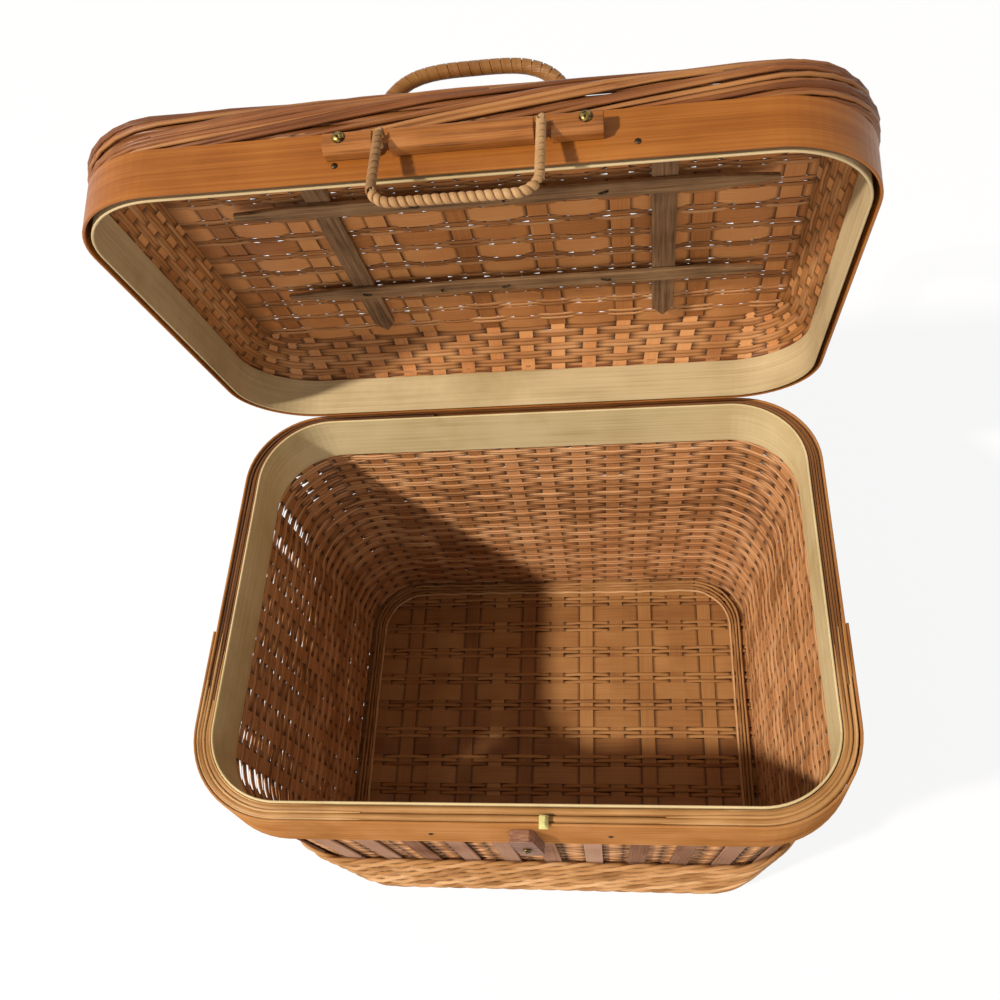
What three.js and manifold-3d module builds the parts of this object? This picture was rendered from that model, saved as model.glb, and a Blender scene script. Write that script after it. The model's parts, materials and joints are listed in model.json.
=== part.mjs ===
// Wicker picnic basket with a hinged lid, a carrying handle and a loop-and-button closure.
// Millimetres, +Z up, +Y towards the hinge. The origin is on the underside, at the middle of the floor.
// The lid is built shut, in a group on the hinge pin, and the group is turned to the open rest pose.
import * as THREE from 'three';
import { mergeVertices } from 'three/addons/utils/BufferGeometryUtils.js';
import Module from 'manifold-3d';

const wasm = await Module();
wasm.setup();

// Driving dimensions: the mouth inside the pale band
const mouthHalfWidth = 220;
const mouthHalfDepth = 161;
const mouthCorner = 55;
const clearance = 0.3;
const closingGap = 0.6;

// Base: heights and the woven floor
const rimHeight = 294;
const floorThickness = 7.5;
const floorInsetSide = 32;
const floorInsetFront = 11;
const floorCorner = 49;
const wallThickness = 4.6;
const footBorderHeight = 17;
const footBorderThickness = 4.2;
const outerSplintCount = 42;
const outerSplintWidth = 13.5;
const outerSplintThickness = 1.1;
const outerSplintSink = 1.5;

// Base rim: bent laths with two filler canes between them at the front and the sides
const innerBandThickness = 1.6;
const innerBandHeight = 50;
const outerBandThickness = 1.8;
const outerBandHeight = 48;
const rimReedDiameter = 5.2;
const rearWallThickness = 3;
const bandLapLength = 40;
const bandLapFromMiddle = 72;
const wallStepBelowBand = 6;

// Lid
const lidHeight = 62;
const lidPanelThickness = 6;
const lidPanelInsetSide = 18;
const lidPanelInsetFront = 28;
const lidPanelCorner = 26;
const lidSplintCount = 15;
const lidSplintPitch = 26.6;
const lidSplintWidth = 13;
const lidSplintRise = 1.1;
const lidSplintPlace = 6;
const lidWallThickness = 2.6;
const lidInnerBandHeight = 30.5;
const lidOuterBandHeight = 30;
const lidShoulderHeight = 51;
const lidBorderThickness = 3.2;
const lidBorderGap = 0.72;
const lidEdgeWidth = 9;
const lidEdgeDepth = 13;
const openAngle = 75;

// Hinges
const hingeSpacing = 240;
const pinRadius = 1.6;
const pinOverhang = 2;
const pinRunningGap = 0.3;
const eyeWall = 1.4;
const pinHeight = 16;
const strapWidth = 12;
const strapThickness = 2;
const strapDrop = 30;
const lashingWidth = 8;
const lashingGap = 1;
const lashingRise = 13;

// Battens inside the lid
const battenThickness = 3;
const battenWidth = 14;
const battenTipWidth = 5;
const battenTipLength = 40;
const battenLength = 342;
const battenMiddle = 11;
const frontBattenPlace = -62;
const rearBattenPlace = 50;
const crossBattenWidth = 16;
const crossBattenLength = 232;
const crossBattenMiddle = 4;
const crossBattenPoint = 14;
const leftCrossPlace = -102;
const rightCrossPlace = 114;
const battenNailRadius = 2;
const battenNailRise = 0.8;
const frontNailPlaces = [-43, 15, 78];
const rearNailPlaces = [-102, -45, 3, 75];

// Carrying handle
const handlePlace = -4;
const handleHalfSpan = 65;
const handleRise = 85;
const handleCoreRadius = 4.2;
const handleArchPower = 3.5;
const handleWrapTurns = 18;
const handleWrapThickness = 1.4;
const handleWrapGap = 0.8;
const handleWrapBevel = 1.6;

// Closure batten on the lid's front band
const closurePlace = 8.5;
const closureBattenLength = 146;
const closureBattenThickness = 10;
const closureBattenBottom = 12.4;
const closureBattenHeight = 10.8;
const closureChamfer = 4;
const closureChamferDepth = 4;
const neckSize = 3;
const neckBelowTop = 4.6;
const closureEdge = 1;
const notchWidth = 8.5;
const screwHeadRadius = 3.4;
const screwHeadHeight = 2.1;
const closureScrewInset = 9;
const closureScrewHeight = 19.2;

// Closure loop
const loopHalfWidth = 42;
const loopCoreRadius = 1.9;
const loopArmRadius = 2.8;
const loopEyeRadius = 4.4;
const loopEyeTurn = 280;
const loopArmLength = 52;
const loopCornerRadius = 12;
const loopLean = 14;
const loopWrapTurns = 15;
const loopWrapThickness = 1.1;
const loopWrapGap = 1.1;
const loopWrapBevel = 0.9;

// Turn button, rim wedge and small nails
const buttonLength = 38.5;
const buttonWidth = 17;
const buttonThickness = 8;
const buttonCorner = 2.5;
const buttonPlace = 9;
const buttonDrop = 32;
const buttonTilt = 98;
const buttonPivotShift = 2;
const buttonScrewRadius = 1.8;
const wedgePlace = 23;
const wedgeLength = 10;
const wedgeWidth = 7;
const wedgeHeight = 5;
const wedgeClearance = 0.6;
const wedgeTip = 1.6;
const nailHeadRadius = 1.7;
const nailHeadHeight = 0.7;
const baseNailDrop = 26;
const baseNailPlaces = [-58, 66];
const lidNailHeight = 9.6;
const lidNailPlaces = [-60, 98];

// Fineness of the meshes
const cornerSteps = 8;
const roundSides = 12;
const reedSides = 8;
const loopSides = 10;
const handleSteps = 28;
const archPoints = 112;
const lengthSteps = 8;
const loopEyeSteps = 14;
const loopArmSteps = 4;
const wrapSteps = 24;
const loopWrapSteps = 16;

// Places worked out from the sizes
const lidRimWidth = innerBandThickness + lidWallThickness + 2 * clearance + outerBandThickness;
const rearRimWidth = innerBandThickness + rearWallThickness + 2 * clearance + outerBandThickness;
const pinOffset = Math.max(lidRimWidth, rearRimWidth) + clearance + eyeWall + pinRunningGap + pinRadius;
const pinY = mouthHalfDepth + pinOffset;
const pinZ = rimHeight + pinHeight;
const lidUnderside = lidHeight - lidPanelThickness;
const closureBack = lidRimWidth + clearance;

const hull = new THREE.Group();
const lid = new THREE.Group();
const loop = new THREE.Group();
const button = new THREE.Group();

// Adds one named piece with its own material to a group
function addPiece(group, name, geometry, color, roughness = 0.7, metalness = 0) {
  const material = new THREE.MeshStandardMaterial({ color, roughness, metalness });
  const mesh = new THREE.Mesh(geometry, material);
  mesh.name = name;
  group.add(mesh);
  return mesh;
}

// A closed body from its corner points and triangles, turned so that its faces point out
function closedBody(points, triangles) {
  let volume = 0;
  const cross = new THREE.Vector3();
  for (const [a, b, c] of triangles) {
    volume += points[a].dot(cross.crossVectors(points[b], points[c]));
  }
  const index = [];
  for (const [a, b, c] of triangles) index.push(a, ...(volume > 0 ? [b, c] : [c, b]));
  const geometry = new THREE.BufferGeometry();
  const values = points.flatMap((point) => [point.x, point.y, point.z]);
  geometry.setAttribute('position', new THREE.Float32BufferAttribute(values, 3));
  geometry.setIndex(index);
  return geometry;
}

// A body swept through rings of points: closed on itself, or with flat convex ends
function sweptBody(rings, closed) {
  const sides = rings[0].length;
  const points = rings.flat();
  const triangles = [];
  const last = closed ? rings.length : rings.length - 1;
  for (let k = 0; k < last; k++) {
    const next = (k + 1) % rings.length;
    for (let i = 0; i < sides; i++) {
      const j = (i + 1) % sides;
      const [a, b, c, d] = [k * sides + i, k * sides + j, next * sides + j, next * sides + i];
      triangles.push([a, b, c], [a, c, d]);
    }
  }
  if (!closed) {
    const end = (rings.length - 1) * sides;
    for (let i = 1; i < sides - 1; i++) {
      triangles.push([0, i + 1, i], [end, end + i, end + i + 1]);
    }
  }
  return closedBody(points, triangles);
}

// A rounded rectangle set by half sizes and a corner radius
function size(width, depth, corner) {
  return { width, depth, corner };
}

function grown(base, margin) {
  return size(base.width + margin, base.depth + margin, base.corner + margin);
}

function between(from, to, share) {
  const mix = (a, b) => a + (b - a) * share;
  return size(mix(from.width, to.width), mix(from.depth, to.depth), mix(from.corner, to.corner));
}

// The closed outline of a rounded rectangle. Its front and rear may differ, and each side has one
// more point, at the lap line, where its half width may differ too.
function outline(front, rear = front, lapWidth = front.width) {
  const quarter = Math.PI / 2;
  const corners = [
    [front, 1, -1, -quarter],
    [rear, 1, 1, 0],
    [rear, -1, 1, quarter],
    [front, -1, -1, 2 * quarter],
  ];
  const points = [];
  for (const [part, sideX, sideY, start] of corners) {
    const middleX = sideX * (part.width - part.corner);
    const middleY = sideY * (part.depth - part.corner);
    for (let i = 0; i <= cornerSteps; i++) {
      const angle = start + (quarter * i) / cornerSteps;
      const x = middleX + part.corner * Math.cos(angle);
      points.push(new THREE.Vector2(x, middleY + part.corner * Math.sin(angle)));
    }
    if (sideX > 0 && sideY < 0) points.push(new THREE.Vector2(lapWidth, -bandLapFromMiddle));
  }
  points.splice(3 * (cornerSteps + 1) + 1, 0, new THREE.Vector2(-lapWidth, -bandLapFromMiddle));
  return points;
}

// A ring whose cross-section is a closed list of levels, each an outline and a height
function ringBody(levels) {
  const lift = (points, z) => points.map((point) => new THREE.Vector3(point.x, point.y, z));
  return sweptBody(levels.map(([points, z]) => lift(points, z)), true);
}

// A flat piece cut from an outline, between two heights
function plateBody(points, low, high) {
  const shape = new THREE.Shape(points);
  return new THREE.ExtrudeGeometry(shape, { depth: high - low, bevelEnabled: false }).translate(0, 0, low);
}

// A piece drawn as an outline in the YZ plane and extruded along X, centred on a place
function profileBody(shape, length, place) {
  const geometry = new THREE.ExtrudeGeometry(shape, { depth: length, bevelEnabled: false });
  const turn = new THREE.Matrix4().makeBasis(
    new THREE.Vector3(0, 1, 0), new THREE.Vector3(0, 0, 1), new THREE.Vector3(1, 0, 0));
  return geometry.applyMatrix4(turn).translate(place - length / 2, 0, 0);
}

function roundShape(radius, sides = roundSides) {
  const points = [];
  for (let i = 0; i < sides; i++) {
    const angle = (2 * Math.PI * (i + 1 / 2)) / sides;
    points.push(new THREE.Vector2(radius * Math.cos(angle), radius * Math.sin(angle)));
  }
  return new THREE.Shape(points);
}

function toSolid(geometry) {
  const bare = geometry.clone();
  bare.deleteAttribute('normal');
  bare.deleteAttribute('uv');
  const merged = mergeVertices(bare.index ? bare.toNonIndexed() : bare);
  const vertProperties = new Float32Array(merged.attributes.position.array);
  const triVerts = new Uint32Array(merged.index.array);
  return new wasm.Manifold(new wasm.Mesh({ numProp: 3, vertProperties, triVerts }));
}

function fromSolid(solid) {
  const mesh = solid.getMesh();
  const geometry = new THREE.BufferGeometry();
  geometry.setAttribute('position', new THREE.BufferAttribute(new Float32Array(mesh.vertProperties), 3));
  geometry.setIndex(new THREE.BufferAttribute(new Uint32Array(mesh.triVerts), 1));
  return geometry;
}

const mouth = size(mouthHalfWidth, mouthHalfDepth, mouthCorner);
const floor = size(mouth.width - floorInsetSide, mouth.depth - floorInsetFront, floorCorner);
const lidPanel = size(mouth.width - lidPanelInsetSide, mouth.depth - lidPanelInsetFront, lidPanelCorner);

// An outline round the mouth with one margin, or with its own margins at the rear and from the lap on
function mouthRing(margin, rearMargin = margin, sideMargin = margin) {
  const rearCorner = mouth.corner + Math.min(sideMargin, rearMargin);
  const rear = size(mouth.width + sideMargin, mouth.depth + rearMargin, rearCorner);
  return outline(grown(mouth, margin), rear, mouth.width + sideMargin);
}

// The widths across the rim, from the mouth outwards
const wallInside = innerBandThickness + clearance;
const rearWallOutside = wallInside + rearWallThickness;
const frontBandInside = wallInside + 2 * (rimReedDiameter + clearance);
const rearBandInside = frontBandInside - outerBandThickness - clearance;
const wallTop = rimHeight - rimReedDiameter - 2 * clearance;
const wallStep = rimHeight - outerBandHeight - wallStepBelowBand;
const wallFoot = grown(floor, wallThickness);
const wallShoulder = grown(mouth, wallInside + wallThickness);
const rearShoulder = size(wallShoulder.width, mouth.depth + rearWallOutside, wallShoulder.corner);

// Base: the floor, the tapered wall and the border round its foot
function makeFloor() {
  return plateBody(outline(grown(floor, -clearance)), 0, floorThickness);
}

function makeWall() {
  const top = mouthRing(frontBandInside - clearance, rearWallOutside, rearBandInside - clearance);
  const plain = ringBody([
    [outline(floor), 0],
    [mouthRing(wallInside), rimHeight - innerBandHeight - clearance],
    [mouthRing(wallInside), wallTop],
    [top, wallTop],
    [top, rimHeight - outerBandHeight],
    [outline(wallShoulder, rearShoulder), wallStep],
    [outline(wallFoot), 0],
  ]);
  let solid = toSolid(plain);
  for (let i = 0; i < outerSplintCount; i++) {
    solid = solid.add(toSolid(makeOuterSplint(stationAt(wallShoulder, i / outerSplintCount))));
  }
  return fromSolid(solid);
}

// Where a share of the way round falls: on a side, or on the corner that follows it
function stationAt(part, share) {
  const straights = [2 * (part.depth - part.corner), 2 * (part.width - part.corner)];
  const bend = (Math.PI / 2) * part.corner;
  let left = share * (2 * (straights[0] + straights[1]) + 4 * bend);
  let side = 0;
  while (left >= straights[side % 2] + bend) {
    left -= straights[side % 2] + bend;
    side++;
  }
  const straight = straights[side % 2];
  return { side, along: Math.min(left / straight, 1), turn: Math.max((left - straight) / bend, 0) };
}

// The point of a rounded rectangle at a station, and the direction out from it
function pointAt(part, { side, along, turn }) {
  const signs = [[1, -1], [1, 1], [-1, 1], [-1, -1]];
  const [from, to] = [signs[side], signs[(side + 1) % signs.length]];
  const angle = (Math.PI / 2) * (side + turn);
  const out = new THREE.Vector2(Math.cos(angle), Math.sin(angle));
  const x = (from[0] + (to[0] - from[0]) * along) * (part.width - part.corner);
  const y = (from[1] + (to[1] - from[1]) * along) * (part.depth - part.corner);
  return { point: new THREE.Vector2(x, y).addScaledVector(out, part.corner), out };
}

// A flat upright splint on the wall's outer face, from the foot border to the wall's step
function makeOuterSplint(station) {
  const isRear = station.side === 1 || (station.side === 0 && station.turn > 0);
  const shoulder = isRear ? rearShoulder : wallShoulder;
  const section = (z) => {
    const { point, out } = pointAt(between(wallFoot, shoulder, z / wallStep), station);
    const across = new THREE.Vector2(-out.y, out.x).multiplyScalar(outerSplintWidth / 2);
    const [inside, outside] = [-outerSplintSink, outerSplintThickness];
    return [[-1, inside], [1, inside], [1, outside], [-1, outside]].map(([turn, depth]) => {
      const corner = point.clone().addScaledVector(across, turn).addScaledVector(out, depth);
      return new THREE.Vector3(corner.x, corner.y, z);
    });
  };
  return sweptBody([section(footBorderHeight + clearance), section(wallStep + outerSplintThickness)], false);
}

function makeFootBorder() {
  const top = between(wallFoot, wallShoulder, footBorderHeight / wallStep);
  const outer = clearance + footBorderThickness;
  return ringBody([
    [outline(grown(wallFoot, clearance)), 0],
    [outline(grown(top, clearance)), footBorderHeight],
    [outline(grown(top, outer)), footBorderHeight],
    [outline(grown(wallFoot, outer)), 0],
  ]);
}

// A bent lath, of even thickness, all the way round
function makeBand(margin, thickness, low, high) {
  return ringBody([
    [mouthRing(margin), low],
    [mouthRing(margin), high],
    [mouthRing(margin + thickness), high],
    [mouthRing(margin + thickness), low],
  ]);
}

// Where the side from one outline point to the next crosses a line of equal Y
function crossing(from, to, y) {
  const share = (y - from.y) / (to.y - from.y);
  return new THREE.Vector2(from.x + share * (to.x - from.x), y);
}

// The part of an outline in front of a line of equal Y, or behind it, as an open run of points
function openRun(points, inFront, y) {
  const count = points.length;
  const isKept = (i) => (inFront ? points[i % count].y < y : points[i % count].y > y);
  let first = 0;
  while (!(isKept(first) && !isKept(first + count - 1))) first++;
  const run = [crossing(points[(first + count - 1) % count], points[first], y)];
  let i = first;
  for (; isKept(i); i++) run.push(points[i % count]);
  run.push(crossing(points[(i - 1) % count], points[i % count], y));
  return run;
}

function openBand(outer, inner, inFront, y) {
  const outside = openRun(outer, inFront, y);
  const inside = openRun(inner, inFront, y).reverse();
  return plateBody([...outside, ...inside], rimHeight - outerBandHeight, rimHeight);
}

// The outer lath is in two pieces; the front one laps over the ends of the rear one at each side
function makeFrontOuterBand() {
  const outer = mouthRing(frontBandInside + outerBandThickness);
  return openBand(outer, mouthRing(frontBandInside), true, bandLapLength - bandLapFromMiddle);
}

function makeRearOuterBand() {
  const outside = rearBandInside + outerBandThickness;
  const rearOutside = rearWallOutside + clearance;
  const outer = mouthRing(outside, rearOutside + outerBandThickness, outside);
  const inner = mouthRing(rearBandInside, rearOutside, rearBandInside);
  return openBand(outer, inner, false, clearance - bandLapFromMiddle);
}

// A filler cane lies on the wall's top edge, from one side round the front to the other
function makeRimReed(margin, endY) {
  const height = wallTop + clearance + rimReedDiameter / 2;
  const run = openRun(mouthRing(margin), true, endY);
  const section = roundShape(rimReedDiameter / 2, reedSides).getPoints().slice(0, reedSides);
  const rings = run.map((point, i) => {
    const along = run[Math.min(i + 1, run.length - 1)].clone().sub(run[Math.max(i - 1, 0)]).normalize();
    return section.map(({ x, y }) => new THREE.Vector3(
      point.x + along.y * x, point.y - along.x * x, height + y));
  });
  return sweptBody(rings, false);
}

addPiece(hull, 'base_floor', makeFloor(), 0xb8794a);
addPiece(hull, 'base_wall', makeWall(), 0xc0824f);
addPiece(hull, 'foot_border', makeFootBorder(), 0xa9703f);
const innerBand = makeBand(0, innerBandThickness, rimHeight - innerBandHeight, rimHeight);
addPiece(hull, 'base_inner_band', innerBand, 0xcdb985);
addPiece(hull, 'base_outer_band_front', makeFrontOuterBand(), 0xb5681f);
addPiece(hull, 'base_outer_band_rear', makeRearOuterBand(), 0xb06420);
const innerReed = wallInside + rimReedDiameter / 2;
const outerReed = innerReed + rimReedDiameter + clearance;
const reedRearEnd = mouthHalfDepth - mouthCorner;
addPiece(hull, 'rim_cane_inner', makeRimReed(innerReed, reedRearEnd), 0xd9ae6c);
addPiece(hull, 'rim_cane_outer', makeRimReed(outerReed, -bandLapFromMiddle - rimReedDiameter), 0xd4a662);

// A fastener's head, or a screw with its shank, on a face that looks towards -Y
function headOnFace(profile, place, face, z) {
  const points = profile.map(([radius, rise]) => new THREE.Vector2(radius, rise));
  return new THREE.LatheGeometry(points, roundSides).rotateX(Math.PI).translate(place, face, z);
}

function domeProfile(radius, height, base = 0) {
  const rim_share = 0.8;
  const rise_share = 0.65;
  return [[0, base], [radius, base], [rim_share * radius, base + rise_share * height], [0, base + height]];
}

const frontFace = -(mouthHalfDepth + frontBandInside + outerBandThickness);

// A wooden turn button on a screw, a wedge on the rim, and two small nails
function makeButton() {
  const [left, right] = [-buttonLength / 2, buttonLength / 2];
  const [low, high] = [-buttonWidth / 2, buttonWidth / 2];
  const shape = new THREE.Shape([
    new THREE.Vector2(left + buttonCorner, low), new THREE.Vector2(right - buttonCorner, low),
    new THREE.Vector2(right, low + buttonCorner), new THREE.Vector2(right, high - buttonCorner),
    new THREE.Vector2(right - buttonCorner, high), new THREE.Vector2(left + buttonCorner, high),
    new THREE.Vector2(left, high - buttonCorner), new THREE.Vector2(left, low + buttonCorner),
  ]);
  const bore = roundShape(buttonScrewRadius + clearance).getPoints().slice(0, roundSides);
  shape.holes.push(new THREE.Path(bore.map(({ x, y }) => new THREE.Vector2(x - buttonPivotShift, y))));
  const block = new THREE.ExtrudeGeometry(shape, { depth: buttonThickness, bevelEnabled: false });
  return block.translate(buttonPivotShift, 0, 0).rotateX(Math.PI / 2);
}

function makeButtonScrew() {
  const seat = buttonThickness + 2 * clearance;
  const profile = domeProfile(screwHeadRadius, screwHeadHeight, seat);
  profile.splice(0, 1, [0, 0], [buttonScrewRadius, 0], [buttonScrewRadius, seat]);
  return headOnFace(profile, buttonPlace, frontFace - clearance, rimHeight - buttonDrop);
}

function makeWedge() {
  const back = -(mouthHalfDepth + lidRimWidth + clearance + wedgeClearance);
  const base = rimHeight + clearance;
  const ring = (halfWidth, halfLength, z) => [[-1, -1], [1, -1], [1, 1], [-1, 1]].map(([x, y]) =>
    new THREE.Vector3(wedgePlace + x * halfWidth, back - wedgeLength / 2 + y * halfLength, z));
  return sweptBody([
    ring(wedgeWidth / 2, wedgeLength / 2, base),
    ring(wedgeTip, wedgeLength / 2 - wedgeTip, base + wedgeHeight),
  ], false);
}

addPiece(hull, 'rim_wedge', makeWedge(), 0xb9b06a);
addPiece(hull, 'button_screw', makeButtonScrew(), 0x6f5a3c, 0.4, 0.8);
baseNailPlaces.forEach((place, i) => {
  const head = headOnFace(domeProfile(nailHeadRadius, nailHeadHeight), place,
    frontFace - clearance, rimHeight - baseNailDrop);
  addPiece(hull, `base_nail_${i + 1}`, head, 0x4a3a2a, 0.4, 0.8);
});
button.position.set(buttonPlace, frontFace - clearance, rimHeight - buttonDrop);
button.rotation.y = THREE.MathUtils.degToRad(-buttonTilt);
addPiece(button, 'turn_button', makeButton(), 0x6e4a38);

// Hinges: cane eyes on the base and on the lid take turns along a cane pin
const eyeRadius = pinRadius + pinRunningGap + eyeWall;

// An eye round the pin with a flat leg along a band, downwards on the base or upwards on the lid
function makeHingeEye(legLength, upwards, width, place) {
  const legSide = eyeRadius - strapThickness;
  const meet = Math.acos(legSide / eyeRadius);
  const shape = new THREE.Shape();
  shape.moveTo(-eyeRadius, -legLength);
  shape.lineTo(-eyeRadius, 0);
  for (let i = 1; i <= roundSides; i++) {
    const angle = Math.PI - ((2 * Math.PI - meet) * i) / roundSides;
    shape.lineTo(eyeRadius * Math.cos(angle), eyeRadius * Math.sin(angle));
  }
  shape.lineTo(-legSide, -legLength);
  shape.closePath();
  shape.holes.push(new THREE.Path(roundShape(pinRadius + pinRunningGap).getPoints().slice(0, roundSides)));
  const eye = profileBody(shape, width, 0);
  if (upwards) eye.rotateY(Math.PI);
  return eye.translate(place, 0, 0);
}

const lashingPlace = strapWidth / 2 + lashingGap + lashingWidth / 2;
const pinLength = 2 * (lashingPlace + lashingWidth / 2 + pinOverhang);
for (const [side, sign] of [['left', -1], ['right', 1]]) {
  const place = (sign * hingeSpacing) / 2;
  const strap = makeHingeEye(strapDrop + pinHeight, false, strapWidth, place).translate(0, pinY, pinZ);
  addPiece(hull, `hinge_strap_${side}`, strap, 0x9a6a38);
  const pin = profileBody(roundShape(pinRadius), pinLength, place);
  addPiece(lid, `hinge_pin_${side}`, pin, 0x8a6236);
  for (const [end, offset] of [['outer', sign * lashingPlace], ['inner', -sign * lashingPlace]]) {
    const eye = makeHingeEye(lashingRise, true, lashingWidth, place + offset);
    addPiece(lid, `lid_eye_${side}_${end}`, eye, 0x9a6a38);
  }
}

// Lid, built shut: its heights are measured from the rim
const lidFrame = new THREE.Group();
lidFrame.position.set(0, -pinY, -pinHeight);
const lidWallOutside = wallInside + lidWallThickness;
const lidShoulder = grown(mouth, lidWallOutside);
const lidTopCorner = lidPanel.corner + lidEdgeWidth;
const lidTop = size(lidPanel.width + lidEdgeWidth, lidPanel.depth + lidEdgeDepth, lidTopCorner);

// The panel is full thickness at the flat splints that run from front to back, and thinner between them
function makeLidPanel() {
  const edge = outline(grown(lidPanel, -clearance));
  const whole = toSolid(plateBody(edge, lidUnderside, lidHeight));
  let solid = toSolid(plateBody(edge, lidUnderside + lidSplintRise, lidHeight - lidSplintRise));
  for (let i = 0; i < lidSplintCount; i++) {
    const place = lidSplintPlace + (i - (lidSplintCount - 1) / 2) * lidSplintPitch;
    const splint = new THREE.BoxGeometry(lidSplintWidth, 2 * lidPanel.depth, 2 * lidHeight);
    solid = solid.add(whole.intersect(toSolid(splint.translate(place, 0, 0))));
  }
  return fromSolid(solid);
}

function makeLidWall() {
  return ringBody([
    [mouthRing(wallInside), closingGap],
    [mouthRing(wallInside), lidInnerBandHeight + clearance],
    [outline(lidPanel), lidUnderside],
    [outline(lidPanel), lidHeight],
    [outline(lidTop), lidHeight],
    [outline(lidShoulder), lidShoulderHeight],
    [outline(lidShoulder), closingGap],
  ]);
}

function makeLidBorder() {
  const halfway = 1 / 2;
  const edge = between(lidShoulder, lidTop, halfway);
  const edgeHeight = (lidShoulderHeight + lidHeight) * halfway;
  const low = lidOuterBandHeight + clearance;
  const inside = lidWallOutside + clearance;
  return ringBody([
    [mouthRing(inside), low],
    [mouthRing(lidWallOutside + lidBorderGap), lidShoulderHeight],
    [outline(grown(edge, lidBorderGap)), edgeHeight],
    [outline(grown(edge, lidBorderGap + lidBorderThickness)), edgeHeight],
    [mouthRing(inside + lidBorderThickness), lidShoulderHeight - lidBorderThickness / 2],
    [mouthRing(inside + lidBorderThickness), low],
  ]);
}

addPiece(lidFrame, 'lid_panel', makeLidPanel(), 0xb8794a);
addPiece(lidFrame, 'lid_wall', makeLidWall(), 0x9c6238);
addPiece(lidFrame, 'lid_border', makeLidBorder(), 0x9a5a2a);
const lidInner = makeBand(0, innerBandThickness, closingGap, lidInnerBandHeight);
addPiece(lidFrame, 'lid_inner_band', lidInner, 0xcdb985);
const lidOuterMargin = lidWallOutside + clearance;
const lidOuter = makeBand(lidOuterMargin, outerBandThickness, closingGap, lidOuterBandHeight);
addPiece(lidFrame, 'lid_outer_band', lidOuter, 0xb86a20);
const lidFrontFace = -(mouthHalfDepth + lidRimWidth);
lidNailPlaces.forEach((place, i) => {
  const head = headOnFace(domeProfile(nailHeadRadius, nailHeadHeight), place,
    lidFrontFace - clearance, lidNailHeight);
  addPiece(lidFrame, `lid_nail_${i + 1}`, head, 0x4a3a2a, 0.4, 0.8);
});

// Battens inside the lid: two cross battens on the panel, and two long ones over them
const crossTop = lidUnderside - clearance;
const longTop = crossTop - battenThickness - clearance;

function makeLongBatten(place) {
  const half = battenLength / 2;
  const plan = [
    [-half, battenTipWidth / 2], [-half, -battenTipWidth / 2],
    [-half + battenTipLength, -battenWidth / 2], [half - battenTipLength, -battenWidth / 2],
    [half, -battenTipWidth / 2], [half, battenTipWidth / 2],
    [half - battenTipLength, battenWidth / 2], [-half + battenTipLength, battenWidth / 2],
  ];
  const points = plan.map(([x, y]) => new THREE.Vector2(battenMiddle + x, place + y));
  return plateBody(points, longTop - battenThickness, longTop);
}

function makeCrossBatten(place) {
  const half = crossBattenLength / 2;
  const plan = [
    [-crossBattenWidth / 2, -half], [crossBattenWidth / 2, -half],
    [crossBattenWidth / 2, half - crossBattenPoint], [0, half],
    [-crossBattenWidth / 2, half - crossBattenPoint],
  ];
  const points = plan.map(([x, y]) => new THREE.Vector2(place + x, crossBattenMiddle + y));
  return plateBody(points, crossTop - battenThickness, crossTop);
}

addPiece(lidFrame, 'lid_batten_front', makeLongBatten(frontBattenPlace), 0x7a5a3c);
addPiece(lidFrame, 'lid_batten_rear', makeLongBatten(rearBattenPlace), 0x84603c);
addPiece(lidFrame, 'lid_cross_batten_left', makeCrossBatten(leftCrossPlace), 0x6f5238);
addPiece(lidFrame, 'lid_cross_batten_right', makeCrossBatten(rightCrossPlace), 0x735438);
const nailRows = [['front', frontBattenPlace, frontNailPlaces], ['rear', rearBattenPlace, rearNailPlaces]];
for (const [row, y, places] of nailRows) {
  places.forEach((place, i) => {
    const profile = domeProfile(battenNailRadius, battenNailRise);
    const points = profile.map(([radius, rise]) => new THREE.Vector2(radius, rise));
    const head = new THREE.LatheGeometry(points, roundSides).rotateX(-Math.PI / 2);
    head.translate(place, y, longTop - battenThickness - clearance);
    addPiece(lidFrame, `batten_nail_${row}_${i + 1}`, head, 0x3f3428, 0.5, 0.7);
  });
}

// A path with its frame at any length along it, for the wound pieces
function makePath(points, across) {
  const curve = new THREE.CatmullRomCurve3(points);
  curve.arcLengthDivisions = lengthSteps * points.length;
  const length = curve.getLength();
  const at = (s) => {
    const share = Math.min(Math.max(s / length, 0), 1);
    const along = curve.getTangentAt(share);
    const point = curve.getPointAt(share).addScaledVector(along, s - share * length);
    return { point, along, across, out: along.clone().cross(across) };
  };
  return { at, length };
}

function ringAt(path, s, radius, sides) {
  const { point, across, out } = path.at(s);
  return Array.from({ length: sides }, (_, i) => {
    const angle = (2 * Math.PI * i) / sides;
    return point.clone().addScaledVector(across, radius * Math.cos(angle))
      .addScaledVector(out, radius * Math.sin(angle));
  });
}

// A flat cane wound round a core: one unbroken strip, with bevelled edges and straight ends
function makeWinding(path, from, to, turns, steps, coreRadius, thickness, gap, bevel) {
  const inner = (coreRadius + clearance) / Math.cos(Math.PI / steps);
  const pitch = (to - from + gap) / (turns + 1);
  const half = (pitch - gap) / 2;
  const middle = inner + thickness / 2;
  const outer = inner + thickness;
  const section = [
    [-half, middle], [bevel - half, inner], [half - bevel, inner],
    [half, middle], [half - bevel, outer], [bevel - half, outer],
  ];
  const rings = [];
  for (let k = 0; k <= turns * steps; k++) {
    const angle = (2 * Math.PI * k) / steps;
    const s = from + half + (pitch * k) / steps;
    rings.push(section.map(([shift, radius]) => {
      const { point, across, out } = path.at(s + shift);
      return point.addScaledVector(across, radius * Math.cos(angle))
        .addScaledVector(out, radius * Math.sin(angle));
    }));
  }
  straightEnds(rings, thickness);
  return rings;
}

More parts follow.
